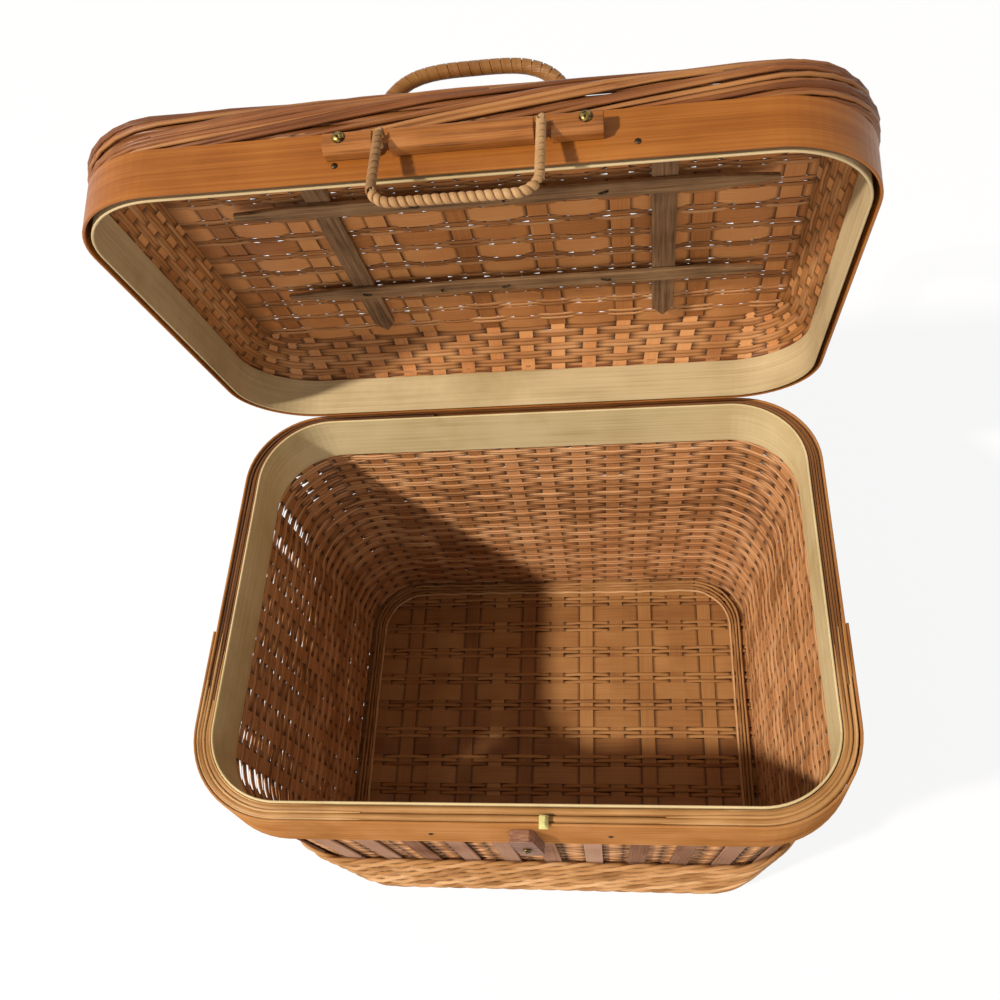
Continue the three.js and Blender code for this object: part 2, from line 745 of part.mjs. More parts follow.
function straightEnds(rings, length) {
  const last = rings.length - 1;
  const beyond = (end, inside) => end.map((point, i) =>
    point.clone().add(point.clone().sub(inside[i]).setLength(length)));
  const first = beyond(rings[0], rings[1]);
  rings.push(beyond(rings[last], rings[last - 1]));
  rings.unshift(first);
}

// The least distance between the edges of one turn and those of the next
function leastGap(rings, steps) {
  let least = Infinity;
  const apart = Math.floor(steps / 2);
  for (let k = 0; k + apart < rings.length; k++) {
    for (let m = k + apart; m < Math.min(k + 2 * steps, rings.length); m++) {
      for (const a of rings[k]) for (const b of rings[m]) least = Math.min(least, a.distanceTo(b));
    }
  }
  return least;
}

// Carrying handle: a bent core standing on the lid over the front batten, wound with flat cane
const handlePoints = [];
for (let i = 0; i <= archPoints; i++) {
  const angle = Math.PI - (Math.PI * i) / archPoints;
  const [cos, sin] = [Math.cos(angle), Math.sin(angle)];
  const x = handleHalfSpan * Math.sign(cos) * Math.abs(cos) ** (2 / handleArchPower);
  const z = handleRise * Math.abs(sin) ** (2 / handleArchPower);
  handlePoints.push(new THREE.Vector3(handlePlace + x, frontBattenPlace, lidHeight + clearance + z));
}
const handlePath = makePath(handlePoints, new THREE.Vector3(0, 1, 0));
const handleRings = Array.from({ length: handleSteps + 1 }, (_, i) =>
  ringAt(handlePath, (handlePath.length * i) / handleSteps, handleCoreRadius, roundSides));
const handleWrap = makeWinding(handlePath, clearance, handlePath.length - clearance, handleWrapTurns,
  wrapSteps, handleCoreRadius, handleWrapThickness, handleWrapGap, handleWrapBevel);
console.log('handle winding, least gap', leastGap(handleWrap, wrapSteps).toFixed(2));
addPiece(lidFrame, 'handle_core', sweptBody(handleRings, false), 0xa9793f);
addPiece(lidFrame, 'handle_wrap', sweptBody(handleWrap, false), 0xb8863f);

// Closure batten: a moulded strip with a neck at each notch for the loop's eyes
const neckOffset = lidRimWidth + 2 * clearance + loopEyeRadius + loopCoreRadius;
const neckHeight = closureBattenBottom + closureBattenHeight - neckBelowTop;
const closureFront = closureBack + closureBattenThickness;

function makeClosureBatten() {
  const [low, high] = [closureBattenBottom, closureBattenBottom + closureBattenHeight];
  const y = (offset) => -(mouthHalfDepth + offset);
  const profile = new THREE.Shape([
    new THREE.Vector2(y(closureBack), low),
    new THREE.Vector2(y(closureBack), high),
    new THREE.Vector2(y(closureFront - closureEdge), high),
    new THREE.Vector2(y(closureFront), high - closureEdge),
    new THREE.Vector2(y(closureFront), low + closureChamfer),
    new THREE.Vector2(y(closureFront - closureChamferDepth), low),
  ]);
  let solid = toSolid(profileBody(profile, closureBattenLength, closurePlace));
  for (const sign of [-1, 1]) {
    const place = closurePlace + sign * loopHalfWidth;
    const cut = new THREE.BoxGeometry(notchWidth, 2 * (closureFront - closureBack), 2 * closureBattenHeight);
    const neck = new THREE.BoxGeometry(notchWidth + 2 * neckSize, neckSize, neckSize);
    cut.translate(place, y(neckOffset), neckHeight);
    neck.translate(place, y(neckOffset), neckHeight);
    solid = solid.subtract(toSolid(cut)).add(toSolid(neck));
  }
  return fromSolid(solid);
}

addPiece(lidFrame, 'closure_batten', makeClosureBatten(), 0xb06a2c);
for (const [side, sign] of [['left', -1], ['right', 1]]) {
  const place = closurePlace + sign * (closureBattenLength / 2 - closureScrewInset);
  const face = -(mouthHalfDepth + closureFront + clearance);
  const head = headOnFace(domeProfile(screwHeadRadius, screwHeadHeight), place, face, closureScrewHeight);
  addPiece(lidFrame, `closure_screw_${side}`, head, 0x7a6a3a, 0.4, 0.8);
}

// Closure loop: its eyes hook round the necks, its arms hang down and its bar is wound with cane
function makeLoopPoints() {
  const arm = [];
  const turn = THREE.MathUtils.degToRad(loopEyeTurn);
  for (let i = 0; i < loopEyeSteps; i++) {
    const angle = Math.PI - turn * (1 - i / loopEyeSteps);
    const [y, z] = [loopEyeRadius * Math.cos(angle), loopEyeRadius * Math.sin(angle)];
    arm.push([-loopHalfWidth, y, z, loopCoreRadius]);
  }
  const straight = loopArmLength - loopCornerRadius;
  for (let i = 0; i <= loopArmSteps; i++) {
    const radius = i > 0 && i < loopArmSteps ? loopArmRadius : loopCoreRadius;
    arm.push([-loopHalfWidth, -loopEyeRadius, (-straight * i) / loopArmSteps, radius]);
  }
  for (let i = 1; i <= cornerSteps; i++) {
    const angle = (Math.PI / 2) * (i / cornerSteps);
    const x = -loopHalfWidth + loopCornerRadius * (1 - Math.cos(angle));
    arm.push([x, -loopEyeRadius, -straight - loopCornerRadius * Math.sin(angle), loopCoreRadius]);
  }
  return [...arm, ...arm.map(([x, y, z, radius]) => [-x, y, z, radius]).reverse()];
}

function makeLoopCore() {
  const stations = makeLoopPoints();
  const place = ([x, y, z]) => new THREE.Vector3(x, y, z);
  const rings = stations.map((station, k) => {
    const ahead = place(stations[Math.min(k + 1, stations.length - 1)]);
    const behind = place(stations[Math.max(k - 1, 0)]);
    const along = ahead.sub(behind).normalize();
    const sideways = Math.abs(station[0]) === loopHalfWidth;
    const across = sideways ? new THREE.Vector3(1, 0, 0) : new THREE.Vector3(0, 1, 0);
    across.addScaledVector(along, -across.dot(along)).normalize();
    const out = along.clone().cross(across);
    return Array.from({ length: loopSides }, (_, i) => {
      const angle = (2 * Math.PI * i) / loopSides + (sideways ? Math.PI / 2 : 0);
      return place(station).addScaledVector(across, station[3] * Math.cos(angle))
        .addScaledVector(out, station[3] * Math.sin(angle));
    });
  });
  return sweptBody(rings, false);
}

loop.position.set(closurePlace, -(mouthHalfDepth + neckOffset), neckHeight);
loop.rotation.x = THREE.MathUtils.degToRad(-loopLean);
addPiece(loop, 'closure_loop', makeLoopCore(), 0xa8854f);
const barHalf = loopHalfWidth - loopCornerRadius;
const barPath = makePath([-barHalf, 0, barHalf].map((x) =>
  new THREE.Vector3(x, -loopEyeRadius, -loopArmLength)), new THREE.Vector3(0, 1, 0));
const loopWrap = makeWinding(barPath, 0, barPath.length, loopWrapTurns, loopWrapSteps, loopCoreRadius,
  loopWrapThickness, loopWrapGap, loopWrapBevel);
console.log('loop winding, least gap', leastGap(loopWrap, loopWrapSteps).toFixed(2));
addPiece(loop, 'closure_loop_wrap', sweptBody(loopWrap, false), 0xb08d63);

lidFrame.add(loop);
lid.add(lidFrame);
lid.position.set(0, pinY, pinZ);
lid.rotation.x = THREE.MathUtils.degToRad(-openAngle);
const basket = new THREE.Group();
basket.add(hull, lid, button);
const loopPivot = new THREE.Vector3();
basket.updateMatrixWorld(true);
loop.getWorldPosition(loopPivot);
const shown = (point) => point.toArray().map((value) => value.toFixed(2)).join(' ');
console.log('lid pin', shown(lid.position), 'loop pivot', shown(loopPivot), 'button', shown(button.position));

export default basket;
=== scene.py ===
# %% [markdown]
# # A wicker picnic basket
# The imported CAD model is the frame: its boxes, pins and battens say where everything goes. This
# lesson weaves the real basket around it: reeds, splints, bent laths, cane and small fittings.
# Lengths are written in millimetres and turned to metres in one place.

# %% Load the frame
import json
import math

import bmesh
import bpy
import numpy as np
from mathutils import Matrix, Vector

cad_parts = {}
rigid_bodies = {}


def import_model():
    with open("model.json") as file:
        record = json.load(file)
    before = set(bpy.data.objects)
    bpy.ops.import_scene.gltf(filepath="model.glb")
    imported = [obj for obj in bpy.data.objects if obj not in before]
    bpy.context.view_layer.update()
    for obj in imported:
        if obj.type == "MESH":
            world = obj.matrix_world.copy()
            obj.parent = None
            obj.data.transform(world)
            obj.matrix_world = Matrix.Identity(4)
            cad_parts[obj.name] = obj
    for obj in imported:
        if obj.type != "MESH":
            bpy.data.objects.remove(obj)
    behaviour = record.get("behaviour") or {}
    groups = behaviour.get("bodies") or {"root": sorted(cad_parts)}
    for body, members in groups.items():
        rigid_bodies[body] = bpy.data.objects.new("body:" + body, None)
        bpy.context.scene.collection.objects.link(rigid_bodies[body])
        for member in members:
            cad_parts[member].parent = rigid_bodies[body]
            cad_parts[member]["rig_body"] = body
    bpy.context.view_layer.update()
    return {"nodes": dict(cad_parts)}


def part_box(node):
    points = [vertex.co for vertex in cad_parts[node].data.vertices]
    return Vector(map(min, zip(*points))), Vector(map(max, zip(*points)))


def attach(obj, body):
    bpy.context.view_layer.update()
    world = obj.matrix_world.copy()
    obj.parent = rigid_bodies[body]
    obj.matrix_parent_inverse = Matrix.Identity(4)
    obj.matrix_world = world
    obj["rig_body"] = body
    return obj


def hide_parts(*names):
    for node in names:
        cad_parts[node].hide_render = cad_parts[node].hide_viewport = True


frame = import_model()
MM = 0.001
random = np.random.default_rng(11)


def linked(name, data):
    """A new object, put in the scene."""
    thing = bpy.data.objects.new(name, data)
    bpy.context.scene.collection.objects.link(thing)
    return thing


# %% [markdown]
# ## The camera
# The photograph looks down into the open basket from the front. Its place was found by fitting
# the rims, the floor and the lid, so it is written as an eye point and three turns.

# %% Camera
eye = Vector((94.98, -357.23, 1005.15)) * MM
pitch, yaw, roll = math.radians(57.43), math.radians(-16.37), math.radians(-15.74)
focal_pixels, image_size, centre_pixel = 1063.46, 1000.0, 480.0

forward = Vector((math.sin(yaw) * math.cos(pitch), math.cos(yaw) * math.cos(pitch), -math.sin(pitch)))
right = Vector((math.cos(yaw), -math.sin(yaw), 0))
upward = right.cross(forward)
rolled_right = right * math.cos(roll) + upward * math.sin(roll)
rolled_up = upward * math.cos(roll) - right * math.sin(roll)

camera_data = bpy.data.cameras.new("camera")
camera_data.sensor_width = 36
camera_data.lens = camera_data.sensor_width * focal_pixels / image_size
camera_data.shift_x = (image_size / 2 - centre_pixel) / image_size
camera_data.clip_start = 0.05
camera = linked("camera", camera_data)
columns = Matrix((rolled_right, rolled_up, -forward)).transposed()
camera.matrix_world = Matrix.Translation(eye) @ columns.to_4x4()
bpy.context.scene.camera = camera
print("lens, mm:", round(camera_data.lens, 2))

# %% [markdown]
# ## Light and floor
# A soft key light from the front left throws the basket's own rim as a shadow on its floor. A
# pale world fills the rest. Seen by the camera or in a reflection, floor and world are white. The
# paper is painted dark only under the basket's foot, as painted shade, so gaps in the woven floor don't shine
# through.

# %% Node helpers
def add(tree, kind, inputs=None, **settings):
    """Adds a node, sets it, and sets or links its inputs."""
    node = tree.nodes.new(kind)
    for key, value in settings.items():
        setattr(node, key, value)
    for key, value in (inputs or {}).items():
        if isinstance(value, bpy.types.NodeSocket):
            tree.links.new(value, node.inputs[key])
        else:
            node.inputs[key].default_value = value
    return node


def empty_tree(block):
    """The cleared node tree of a new material or world."""
    block.use_nodes = True
    block.node_tree.nodes.clear()
    return block.node_tree


def shown_white(tree):
    """1 where the camera, a glossy ray or a transmitted ray looks, and 0 for light."""
    path = add(tree, "ShaderNodeLightPath")
    glossy = add(tree, "ShaderNodeMath", {0: path.outputs["Is Camera Ray"], 1: path.outputs["Is Glossy Ray"]},
                 operation="MAXIMUM")
    return add(tree, "ShaderNodeMath", {0: glossy.outputs[0], 1: path.outputs["Is Transmission Ray"]},
               operation="MAXIMUM").outputs[0]


# %% World
FILL_STRENGTH = 0.4
world = bpy.data.worlds.new("studio")
world_tree = empty_tree(world)
world_fill = add(world_tree, "ShaderNodeBackground", {"Color": (1.0, 0.96, 0.9, 1), "Strength": FILL_STRENGTH})
world_white = add(world_tree, "ShaderNodeBackground", {"Color": (1, 1, 1, 1), "Strength": 1.0})
world_mix = add(world_tree, "ShaderNodeMixShader",
                {0: shown_white(world_tree), 1: world_fill.outputs[0], 2: world_white.outputs[0]})
add(world_tree, "ShaderNodeOutputWorld", {"Surface": world_mix.outputs[0]})
bpy.context.scene.world = world

# %% Floor
FLOOR_SIZE, FLOOR_DROP = 40.0, 0.4 * MM
SHADOW_SHARE = 0.12
FOOT_CENTRES, FOOT_CORNER = (142 * MM, 104 * MM), 50 * MM
bpy.ops.mesh.primitive_plane_add(size=FLOOR_SIZE, location=(0, 0, -FLOOR_DROP))
floor = bpy.context.object
floor.name = "studio_floor"
floor_material = bpy.data.materials.new("studio_paper")
floor_tree = empty_tree(floor_material)
paper = add(floor_tree, "ShaderNodeBsdfDiffuse", {"Color": (0.9, 0.9, 0.9, 1)})
# Painted shade: the paper under the basket's foot is near black, so no light shows through the floor's gaps.
shade_under_basket = add(floor_tree, "ShaderNodeBsdfDiffuse", {"Color": (0.04, 0.03, 0.02, 1)})
glow = add(floor_tree, "ShaderNodeEmission", {"Color": (1, 1, 1, 1), "Strength": 1.0})
spot = add(floor_tree, "ShaderNodeSeparateXYZ", {0: add(floor_tree, "ShaderNodeTexCoord").outputs["Object"]})
past = []
for axis, centre in zip("XY", FOOT_CENTRES):
    apart = add(floor_tree, "ShaderNodeMath", {0: spot.outputs[axis]}, operation="ABSOLUTE")
    over = add(floor_tree, "ShaderNodeMath", {0: apart.outputs[0], 1: centre}, operation="SUBTRACT")
    beyond = add(floor_tree, "ShaderNodeMath", {0: over.outputs[0], 1: 0.0}, operation="MAXIMUM")
    past.append(beyond.outputs[0])
past_centres = add(floor_tree, "ShaderNodeCombineXYZ", {0: past[0], 1: past[1]})
reach = add(floor_tree, "ShaderNodeVectorMath", {0: past_centres.outputs[0]}, operation="LENGTH")
outside = add(floor_tree, "ShaderNodeMath", {0: reach.outputs["Value"], 1: FOOT_CORNER},
              operation="GREATER_THAN")
lifted = add(floor_tree, "ShaderNodeMath", {0: outside.outputs[0], 1: 1 - SHADOW_SHARE}, operation="MULTIPLY")
seen = add(floor_tree, "ShaderNodeMath", {0: shown_white(floor_tree), 1: lifted.outputs[0]},
           operation="MULTIPLY")
ground = add(floor_tree, "ShaderNodeMixShader",
             {0: outside.outputs[0], 1: shade_under_basket.outputs[0], 2: paper.outputs[0]})
floor_mix = add(floor_tree, "ShaderNodeMixShader", {0: seen.outputs[0], 1: ground.outputs[0], 2: glow.outputs[0]})
add(floor_tree, "ShaderNodeOutputMaterial", {"Surface": floor_mix.outputs[0]})
floor.data.materials.append(floor_material)

# %% Lamps
def lamp(name, place, aim, size, power, colour):
    """A round soft lamp at a place, turned towards a point."""
    data = bpy.data.lights.new(name, "AREA")
    data.shape = "DISK"
    data.size = size
    data.energy = power
    data.color = colour
    light = linked(name, data)
    light.location = place
    light.rotation_euler = (place - aim).to_track_quat("Z", "Y").to_euler()
    return light


# The mouth's front left corner throws its shadow on the floor, so the key lamp is set from there.
mouth_corner = Vector((-220, -161, 294)) * MM
shadow_slope = Vector((-0.755, -0.472, 1.0))
KEY_HEIGHT = 5.0
basket_middle = Vector((0, 0, 0.2))
key = lamp("key", mouth_corner + shadow_slope * KEY_HEIGHT, basket_middle, 0.4, 570, (1.0, 0.94, 0.85))
lamp("front_fill", Vector((0.5, -2.4, 1.3)), basket_middle, 1.6, 12, (1.0, 0.95, 0.88))
bpy.context.scene.view_settings.view_transform = "Standard"
print("key light from", [round(v, 2) for v in key.location])

# %% [markdown]
# ## Colours and wood finishes
# Everything here is cane, willow or thin wood. Each strand carries attributes made with its shape:
# how far along and across it a point lies, a tint of its own, and where painted shade darkens it. The grain
# is noise drawn out along the strand, so it follows every bend, and the tint makes neighbours differ.

# %% Colour and strand material
def srgb(code):
    """A linear colour from a hex code."""
    values = [int(code[i:i + 2], 16) / 255 for i in (1, 3, 5)]
    return tuple(v / 12.92 if v <= 0.04045 else ((v + 0.055) / 1.055) ** 2.4 for v in values) + (1,)


# Dry plant fibre reflects less than glass or plastic. At their level the white surroundings would
# wash its colour out.
SHEEN = 0.22
# Painted darkening where a strand dives behind another. It stands in for the shadow of the real
# slits, because the modelled weave is shallower and more closed than the real one.
SLIT_SHADE_COLOUR = "#2E190C"
# Worn patches about 45 mm across, stains about 110 mm across, and a grain that stands 0.3 mm proud.
# The last number only sets the grain of two strands with different tints far apart.
PATCHES_PER_METRE, BLOTS_PER_METRE, GRAIN_DEPTH, TINTS_APART = 22.0, 9.0, 0.3 * MM, 97.0


def strand_material(name, dark, middle, light, roughness, grain_mm=0.7, grain_length_mm=30, bump=0.3,
                    tint_share=0.5, sheen=SHEEN, stain="", stain_share=0.0):
    """Fibre grain along a strand, from the attributes along, across and tint, under the painted shade of its
    slits.
    """
    material = bpy.data.materials.new(name)
    tree = empty_tree(material)
    along, across, tint, slit_shade = (add(tree, "ShaderNodeAttribute", attribute_name=key).outputs["Fac"]
                                 for key in ("along", "across", "tint", "slit_shade"))
    stretch = add(tree, "ShaderNodeMath", {0: along, 1: 1 / (grain_length_mm * MM)}, operation="MULTIPLY")
    fine = add(tree, "ShaderNodeMath", {0: across, 1: 1 / (grain_mm * MM)}, operation="MULTIPLY")
    apart = add(tree, "ShaderNodeMath", {0: tint, 1: TINTS_APART}, operation="MULTIPLY")
    place = add(tree, "ShaderNodeCombineXYZ", {0: stretch.outputs[0], 1: fine.outputs[0], 2: apart.outputs[0]})
    grain = add(tree, "ShaderNodeTexNoise", {"Vector": place.outputs[0], "Scale": 1.0, "Detail": 3.0,
                                             "Roughness": 0.6})
    spot = add(tree, "ShaderNodeTexCoord").outputs["Object"]
    patch = add(tree, "ShaderNodeTexNoise", {"Vector": spot, "Scale": PATCHES_PER_METRE, "Detail": 2.0})
    mixed = add(tree, "ShaderNodeMath", {0: grain.outputs["Fac"], 1: 1 - tint_share}, operation="MULTIPLY")
    tinted = add(tree, "ShaderNodeMath", {0: tint, 1: tint_share, 2: mixed.outputs[0]},
                 operation="MULTIPLY_ADD")
    worn = add(tree, "ShaderNodeMath", {0: patch.outputs["Fac"], 1: 0.5, 2: tinted.outputs[0]},
               operation="MULTIPLY_ADD")
    ramp = add(tree, "ShaderNodeValToRGB", {"Fac": worn.outputs[0]})
    ramp.color_ramp.elements[0].position, ramp.color_ramp.elements[0].color = 0.42, srgb(dark)
    ramp.color_ramp.elements[1].position, ramp.color_ramp.elements[1].color = 1.0, srgb(light)
    ramp.color_ramp.elements.new(0.7).color = srgb(middle)
    # Painted shade: where a strand dives into a slit, it is darkened towards the colour of the slit's shadow.
    slit_shaded = add(tree, "ShaderNodeMix", {"Factor": slit_shade, 6: ramp.outputs["Color"], 7: srgb(SLIT_SHADE_COLOUR)},
                 data_type="RGBA")
    colour = slit_shaded.outputs[2]
    if stain:
        blot = add(tree, "ShaderNodeTexNoise", {"Vector": spot, "Scale": BLOTS_PER_METRE, "Detail": 5.0,
                                                "Roughness": 0.65})
        where = add(tree, "ShaderNodeMapRange", {"Value": blot.outputs["Fac"], "From Min": 0.5, "From Max": 0.72,
                                                 "To Max": stain_share})
        stained = add(tree, "ShaderNodeMix", {"Factor": where.outputs[0], 6: colour, 7: srgb(stain)},
                      data_type="RGBA")
        colour = stained.outputs[2]
    raised = add(tree, "ShaderNodeBump", {"Height": grain.outputs["Fac"], "Strength": bump,
                                          "Distance": GRAIN_DEPTH})
    shader = add(tree, "ShaderNodeBsdfPrincipled",
                 {"Base Color": colour, "Roughness": roughness, "Specular IOR Level": sheen,
                  "Normal": raised.outputs[0]})
    add(tree, "ShaderNodeOutputMaterial", {"Surface": shader.outputs[0]})
    return material


# %% The finishes
# Split reed: dull, with fine grain along each strand, and every strand a brown of its own.
# The walls' reed and splint are painted a little lighter than their own colour, as painted light, and the floor's
# splint darker, as painted shade: the lamp falls more steeply, lighting the floor more and the walls less.
woven_reed = strand_material("split_reed", "#7A4F2C", "#B27C4E", "#CD9B6E", 0.55, 0.5, 25)
lid_reed = strand_material("lid_split_reed", "#6F4522", "#986437", "#B88658", 0.5, 0.5, 25)
foot_reed = strand_material("foot_border_reed", "#7E552E", "#AA7B4D", "#CBA074", 0.5, 0.5, 25, sheen=0.05)
# Shaved flat splint: calmer and smoother than reed, with long grain, and greyed where it is outside.
woven_splint = strand_material("flat_willow_splint", "#8A582F", "#AC774A", "#C48E60", 0.5, 0.8, 60)
# Painted shade: the same splint as the walls', painted darker because the lamp lights the floor more than the
# walls.
shaded_floor_splint = strand_material("flat_floor_splint", "#764A28", "#98683B", "#AE7E4C", 0.5, 0.8, 60)
lid_splint = strand_material("lid_flat_splint", "#8C572E", "#B0723F", "#C68C57", 0.5, 0.8, 60)
outer_splint = strand_material("aged_outer_splint", "#664434", "#8D6A56", "#A68470", 0.6, 0.8, 60, sheen=0.0)
# Bare sliced veneer: matt and pale, with long straight grain and broad stains.
pale_veneer = strand_material("bare_basswood_veneer", "#B09A68", "#CFB98B", "#DCCA9F", 0.75, 1.2, 120,
                              0.25, 0.2, stain="#A48B52", stain_share=0.5)
# Painted shade: the same veneer as the rim's band, painted darker because the lamp lights the lid's band more
# than the rim's.
shaded_lid_veneer = strand_material("bare_lid_veneer", "#95815A", "#B59F78", "#C3AF87", 0.75, 1.2, 120,
                             0.25, 0.2, stain="#8C7647", stain_share=0.5)
# Bent lath under old varnish: orange-brown, with coarse long grain and darker stains. The base's has
# lost its gloss, and the lid's has a little left.
orange_lath = strand_material("varnished_bent_lath", "#744622", "#A26C3C", "#B88656", 0.35, 1.6, 140,
                              0.2, 0.25, stain="#6A3E20", stain_share=0.4, sheen=0.0)
lid_orange = strand_material("varnished_lid_lath", "#6B3A10", "#8C5019", "#A3662B", 0.4, 1.6, 140,
                             0.2, 0.25, stain="#6E3A12", stain_share=0.4)
# Peeled cane: pale gold on the rim, browner and glossier on the handle, rubbed dull on the loop.
rim_cane = strand_material("peeled_rim_cane", "#875A2C", "#AE804E", "#C8A06E", 0.45, 0.9, 60, 0.4, 0.3,
                           stain="#7A5226", stain_share=0.5)
handle_cane = strand_material("glossy_handle_cane", "#5B3717", "#86572A", "#A07542", 0.35, 0.9, 50)
loop_cane = strand_material("worn_loop_cane", "#5E4026", "#9A7248", "#C09A6E", 0.55, 0.7, 30)
# Reed and lath stained dark: the lid's border has some gloss, and the filler in the rim has less.
border_reed = strand_material("varnished_border_reed", "#5A2F12", "#7E4B27", "#A67242", 0.4, 0.6, 40)
dark_filler = strand_material("dark_rim_filler_lath", "#4A2C16", "#694223", "#855830", 0.55, 0.8, 90, 0.4, 0.5)
print("materials:", len(bpy.data.materials))

# %% [markdown]
# ## Strands along paths
# A reed, a splint and a bent lath are all one section drawn along a path. One Geometry Nodes tree
# does it: edges become a curve, the curve's normal is the way the strand faces, and a round or
# flat section is swept along it. Its inputs are the section's sizes, so one tree makes them all.

# %% The sweeping tree
def strand_tree():
    tree = bpy.data.node_groups.new("strand_along_path", "GeometryNodeTree")
    face = tree.interface
    face.new_socket("Paths", in_out="INPUT", socket_type="NodeSocketGeometry")
    for name in ("Width", "Thickness", "Rounding"):
        face.new_socket(name, in_out="INPUT", socket_type="NodeSocketFloat")
    face.new_socket("Sides", in_out="INPUT", socket_type="NodeSocketInt")
    face.new_socket("Flat", in_out="INPUT", socket_type="NodeSocketBool")
    face.new_socket("Material", in_out="INPUT", socket_type="NodeSocketMaterial")
    face.new_socket("Strands", in_out="OUTPUT", socket_type="NodeSocketGeometry")
    given = add(tree, "NodeGroupInput").outputs
    curve = add(tree, "GeometryNodeMeshToCurve", {"Mesh": given["Paths"]})
    facing = add(tree, "GeometryNodeInputNamedAttribute", {"Name": "facing"}, data_type="FLOAT_VECTOR")
    turned = add(tree, "GeometryNodeSetCurveNormal",
                 {"Curve": curve.outputs[0], "Normal": facing.outputs[0]}, mode="FREE")
    circle = add(tree, "GeometryNodeCurvePrimitiveCircle", {"Resolution": given["Sides"], "Radius": 0.5})
    sizes = add(tree, "ShaderNodeCombineXYZ", {0: given["Thickness"], 1: given["Width"], 2: 1.0})
    oval = add(tree, "GeometryNodeTransform", {"Geometry": circle.outputs[0], "Scale": sizes.outputs[0]})
    slab = add(tree, "GeometryNodeCurvePrimitiveQuadrilateral", {"Width": given["Thickness"],
                                                                 "Height": given["Width"]})
    eased = add(tree, "GeometryNodeFilletCurve", {"Curve": slab.outputs[0], "Count": 1,
                                                  "Radius": given["Rounding"]}, mode="POLY")
    section = add(tree, "GeometryNodeSwitch", {"Switch": given["Flat"], "False": oval.outputs[0],
                                               "True": eased.outputs[0]}, input_type="GEOMETRY")
    where = add(tree, "ShaderNodeSeparateXYZ", {0: add(tree, "GeometryNodeInputPosition").outputs[0]})
    marked = add(tree, "GeometryNodeStoreNamedAttribute", {"Geometry": section.outputs[0], "Name": "across",
                                                           "Value": where.outputs["Y"]},
                 data_type="FLOAT", domain="POINT")
    taper = add(tree, "GeometryNodeInputNamedAttribute", {"Name": "taper"}, data_type="FLOAT")
    swept_mesh = add(tree, "GeometryNodeCurveToMesh",
                     {"Curve": turned.outputs[0], "Profile Curve": marked.outputs[0],
                      "Scale": taper.outputs[0], "Fill Caps": True})
    rounded = add(tree, "FunctionNodeBooleanMath", {0: given["Flat"]}, operation="NOT")
    smooth = add(tree, "GeometryNodeSetShadeSmooth", {"Geometry": swept_mesh.outputs[0],
                                                      "Shade Smooth": rounded.outputs[0]})
    real = add(tree, "GeometryNodeRealizeInstances", {"Geometry": smooth.outputs[0]})
    dressed = add(tree, "GeometryNodeSetMaterial", {"Geometry": real.outputs[0], "Material": given["Material"]})
    add(tree, "NodeGroupOutput", {"Strands": dressed.outputs[0]})
    return tree


STRANDS = strand_tree()
print("nodes in the strand tree:", len(STRANDS.nodes))

# %% Making strands
def socket_id(tree, name):
    return next(item.identifier for item in tree.interface.items_tree
                if item.name == name and item.in_out == "INPUT")


def keep_mesh(holder, name):
    """The evaluated result of a modifier as a plain object."""
    bpy.context.view_layer.update()
    graph = bpy.context.evaluated_depsgraph_get()
    mesh = bpy.data.meshes.new_from_object(holder.evaluated_get(graph), depsgraph=graph)
    piece = linked(name, mesh)
    mesh.name = name
    bpy.data.objects.remove(holder)
    return piece


def strands(name, paths, facings, width, thickness, material, body, slot, closed=False, sides=6, flat=False,
            rounding=0.3, tapers=None, tints=None, slit_shades=None):
    """Sweeps a section along each path; paths and facings are lists of (n, 3) arrays in mm.

    tapers scales the section along each path, and the last argument says how much painted slit shade darkens it
    there.
    """
    starts = np.cumsum([0] + [len(path) for path in paths])
    edges, along, tint, taper, slit_shade = [], [], [], [], []
    for k, path in enumerate(paths):
        count = len(path)
        index = np.arange(count) + starts[k]
        edges.append(np.stack([index[:-1], index[1:]], 1))
        if closed:
            edges.append(np.array([[index[-1], index[0]]]))
        steps = np.linalg.norm(np.diff(path, axis=0), axis=1)
        along.append(np.concatenate([[0], np.cumsum(steps)]) * MM + k)
        own = random.random() if tints is None else tints[k]
        tint.append(np.full(count, own))
        taper.append(np.ones(count) if tapers is None else tapers[k])
        slit_shade.append(np.zeros(count) if slit_shades is None else slit_shades[k])
    mesh = bpy.data.meshes.new(name + "_paths")
    mesh.from_pydata(np.concatenate(paths) * MM, np.concatenate(edges), [])
    mesh.attributes.new("facing", "FLOAT_VECTOR", "POINT").data.foreach_set(
        "vector", np.concatenate(facings).astype(np.float32).ravel())
    for key, values in (("along", along), ("tint", tint), ("taper", taper), ("slit_shade", slit_shade)):
        values = np.concatenate(values).astype(np.float32)
        mesh.attributes.new(key, "FLOAT", "POINT").data.foreach_set("value", values)
    holder = linked(name + "_paths", mesh)
    sweep = holder.modifiers.new("strands", "NODES")
    sweep.node_group = STRANDS
    for key, value in (("Width", width * MM), ("Thickness", thickness * MM), ("Rounding", rounding * MM),
                       ("Sides", sides), ("Flat", flat), ("Material", material)):
        sweep[socket_id(STRANDS, key)] = value
    piece = keep_mesh(holder, name)
    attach(piece, body)
    print(f"{name}: {len(paths)} strands, {len(piece.data.polygons)} faces")
    return piece


# %% [markdown]
# ## The shape that the weave follows
# The base and the lid are rounded rectangles that change size with height. A place on them is a
# share of the way round, a height, and an offset out from the inner face. The shares are fixed to
# the straight sides and the corners, so an upright stake stays upright between two outlines.

# %% Places on the walls
SIDE_SHARES = np.array([207, 83, 304, 83, 207, 83, 304, 83], float)
BREAKS = np.concatenate([[0], np.cumsum(SIDE_SHARES / SIDE_SHARES.sum())])
CORNERS_BEFORE = np.array([(1, -1), (1, 1), (-1, 1), (-1, -1)], float)
CORNERS_AFTER = np.array([(1, 1), (-1, 1), (-1, -1), (1, -1)], float)


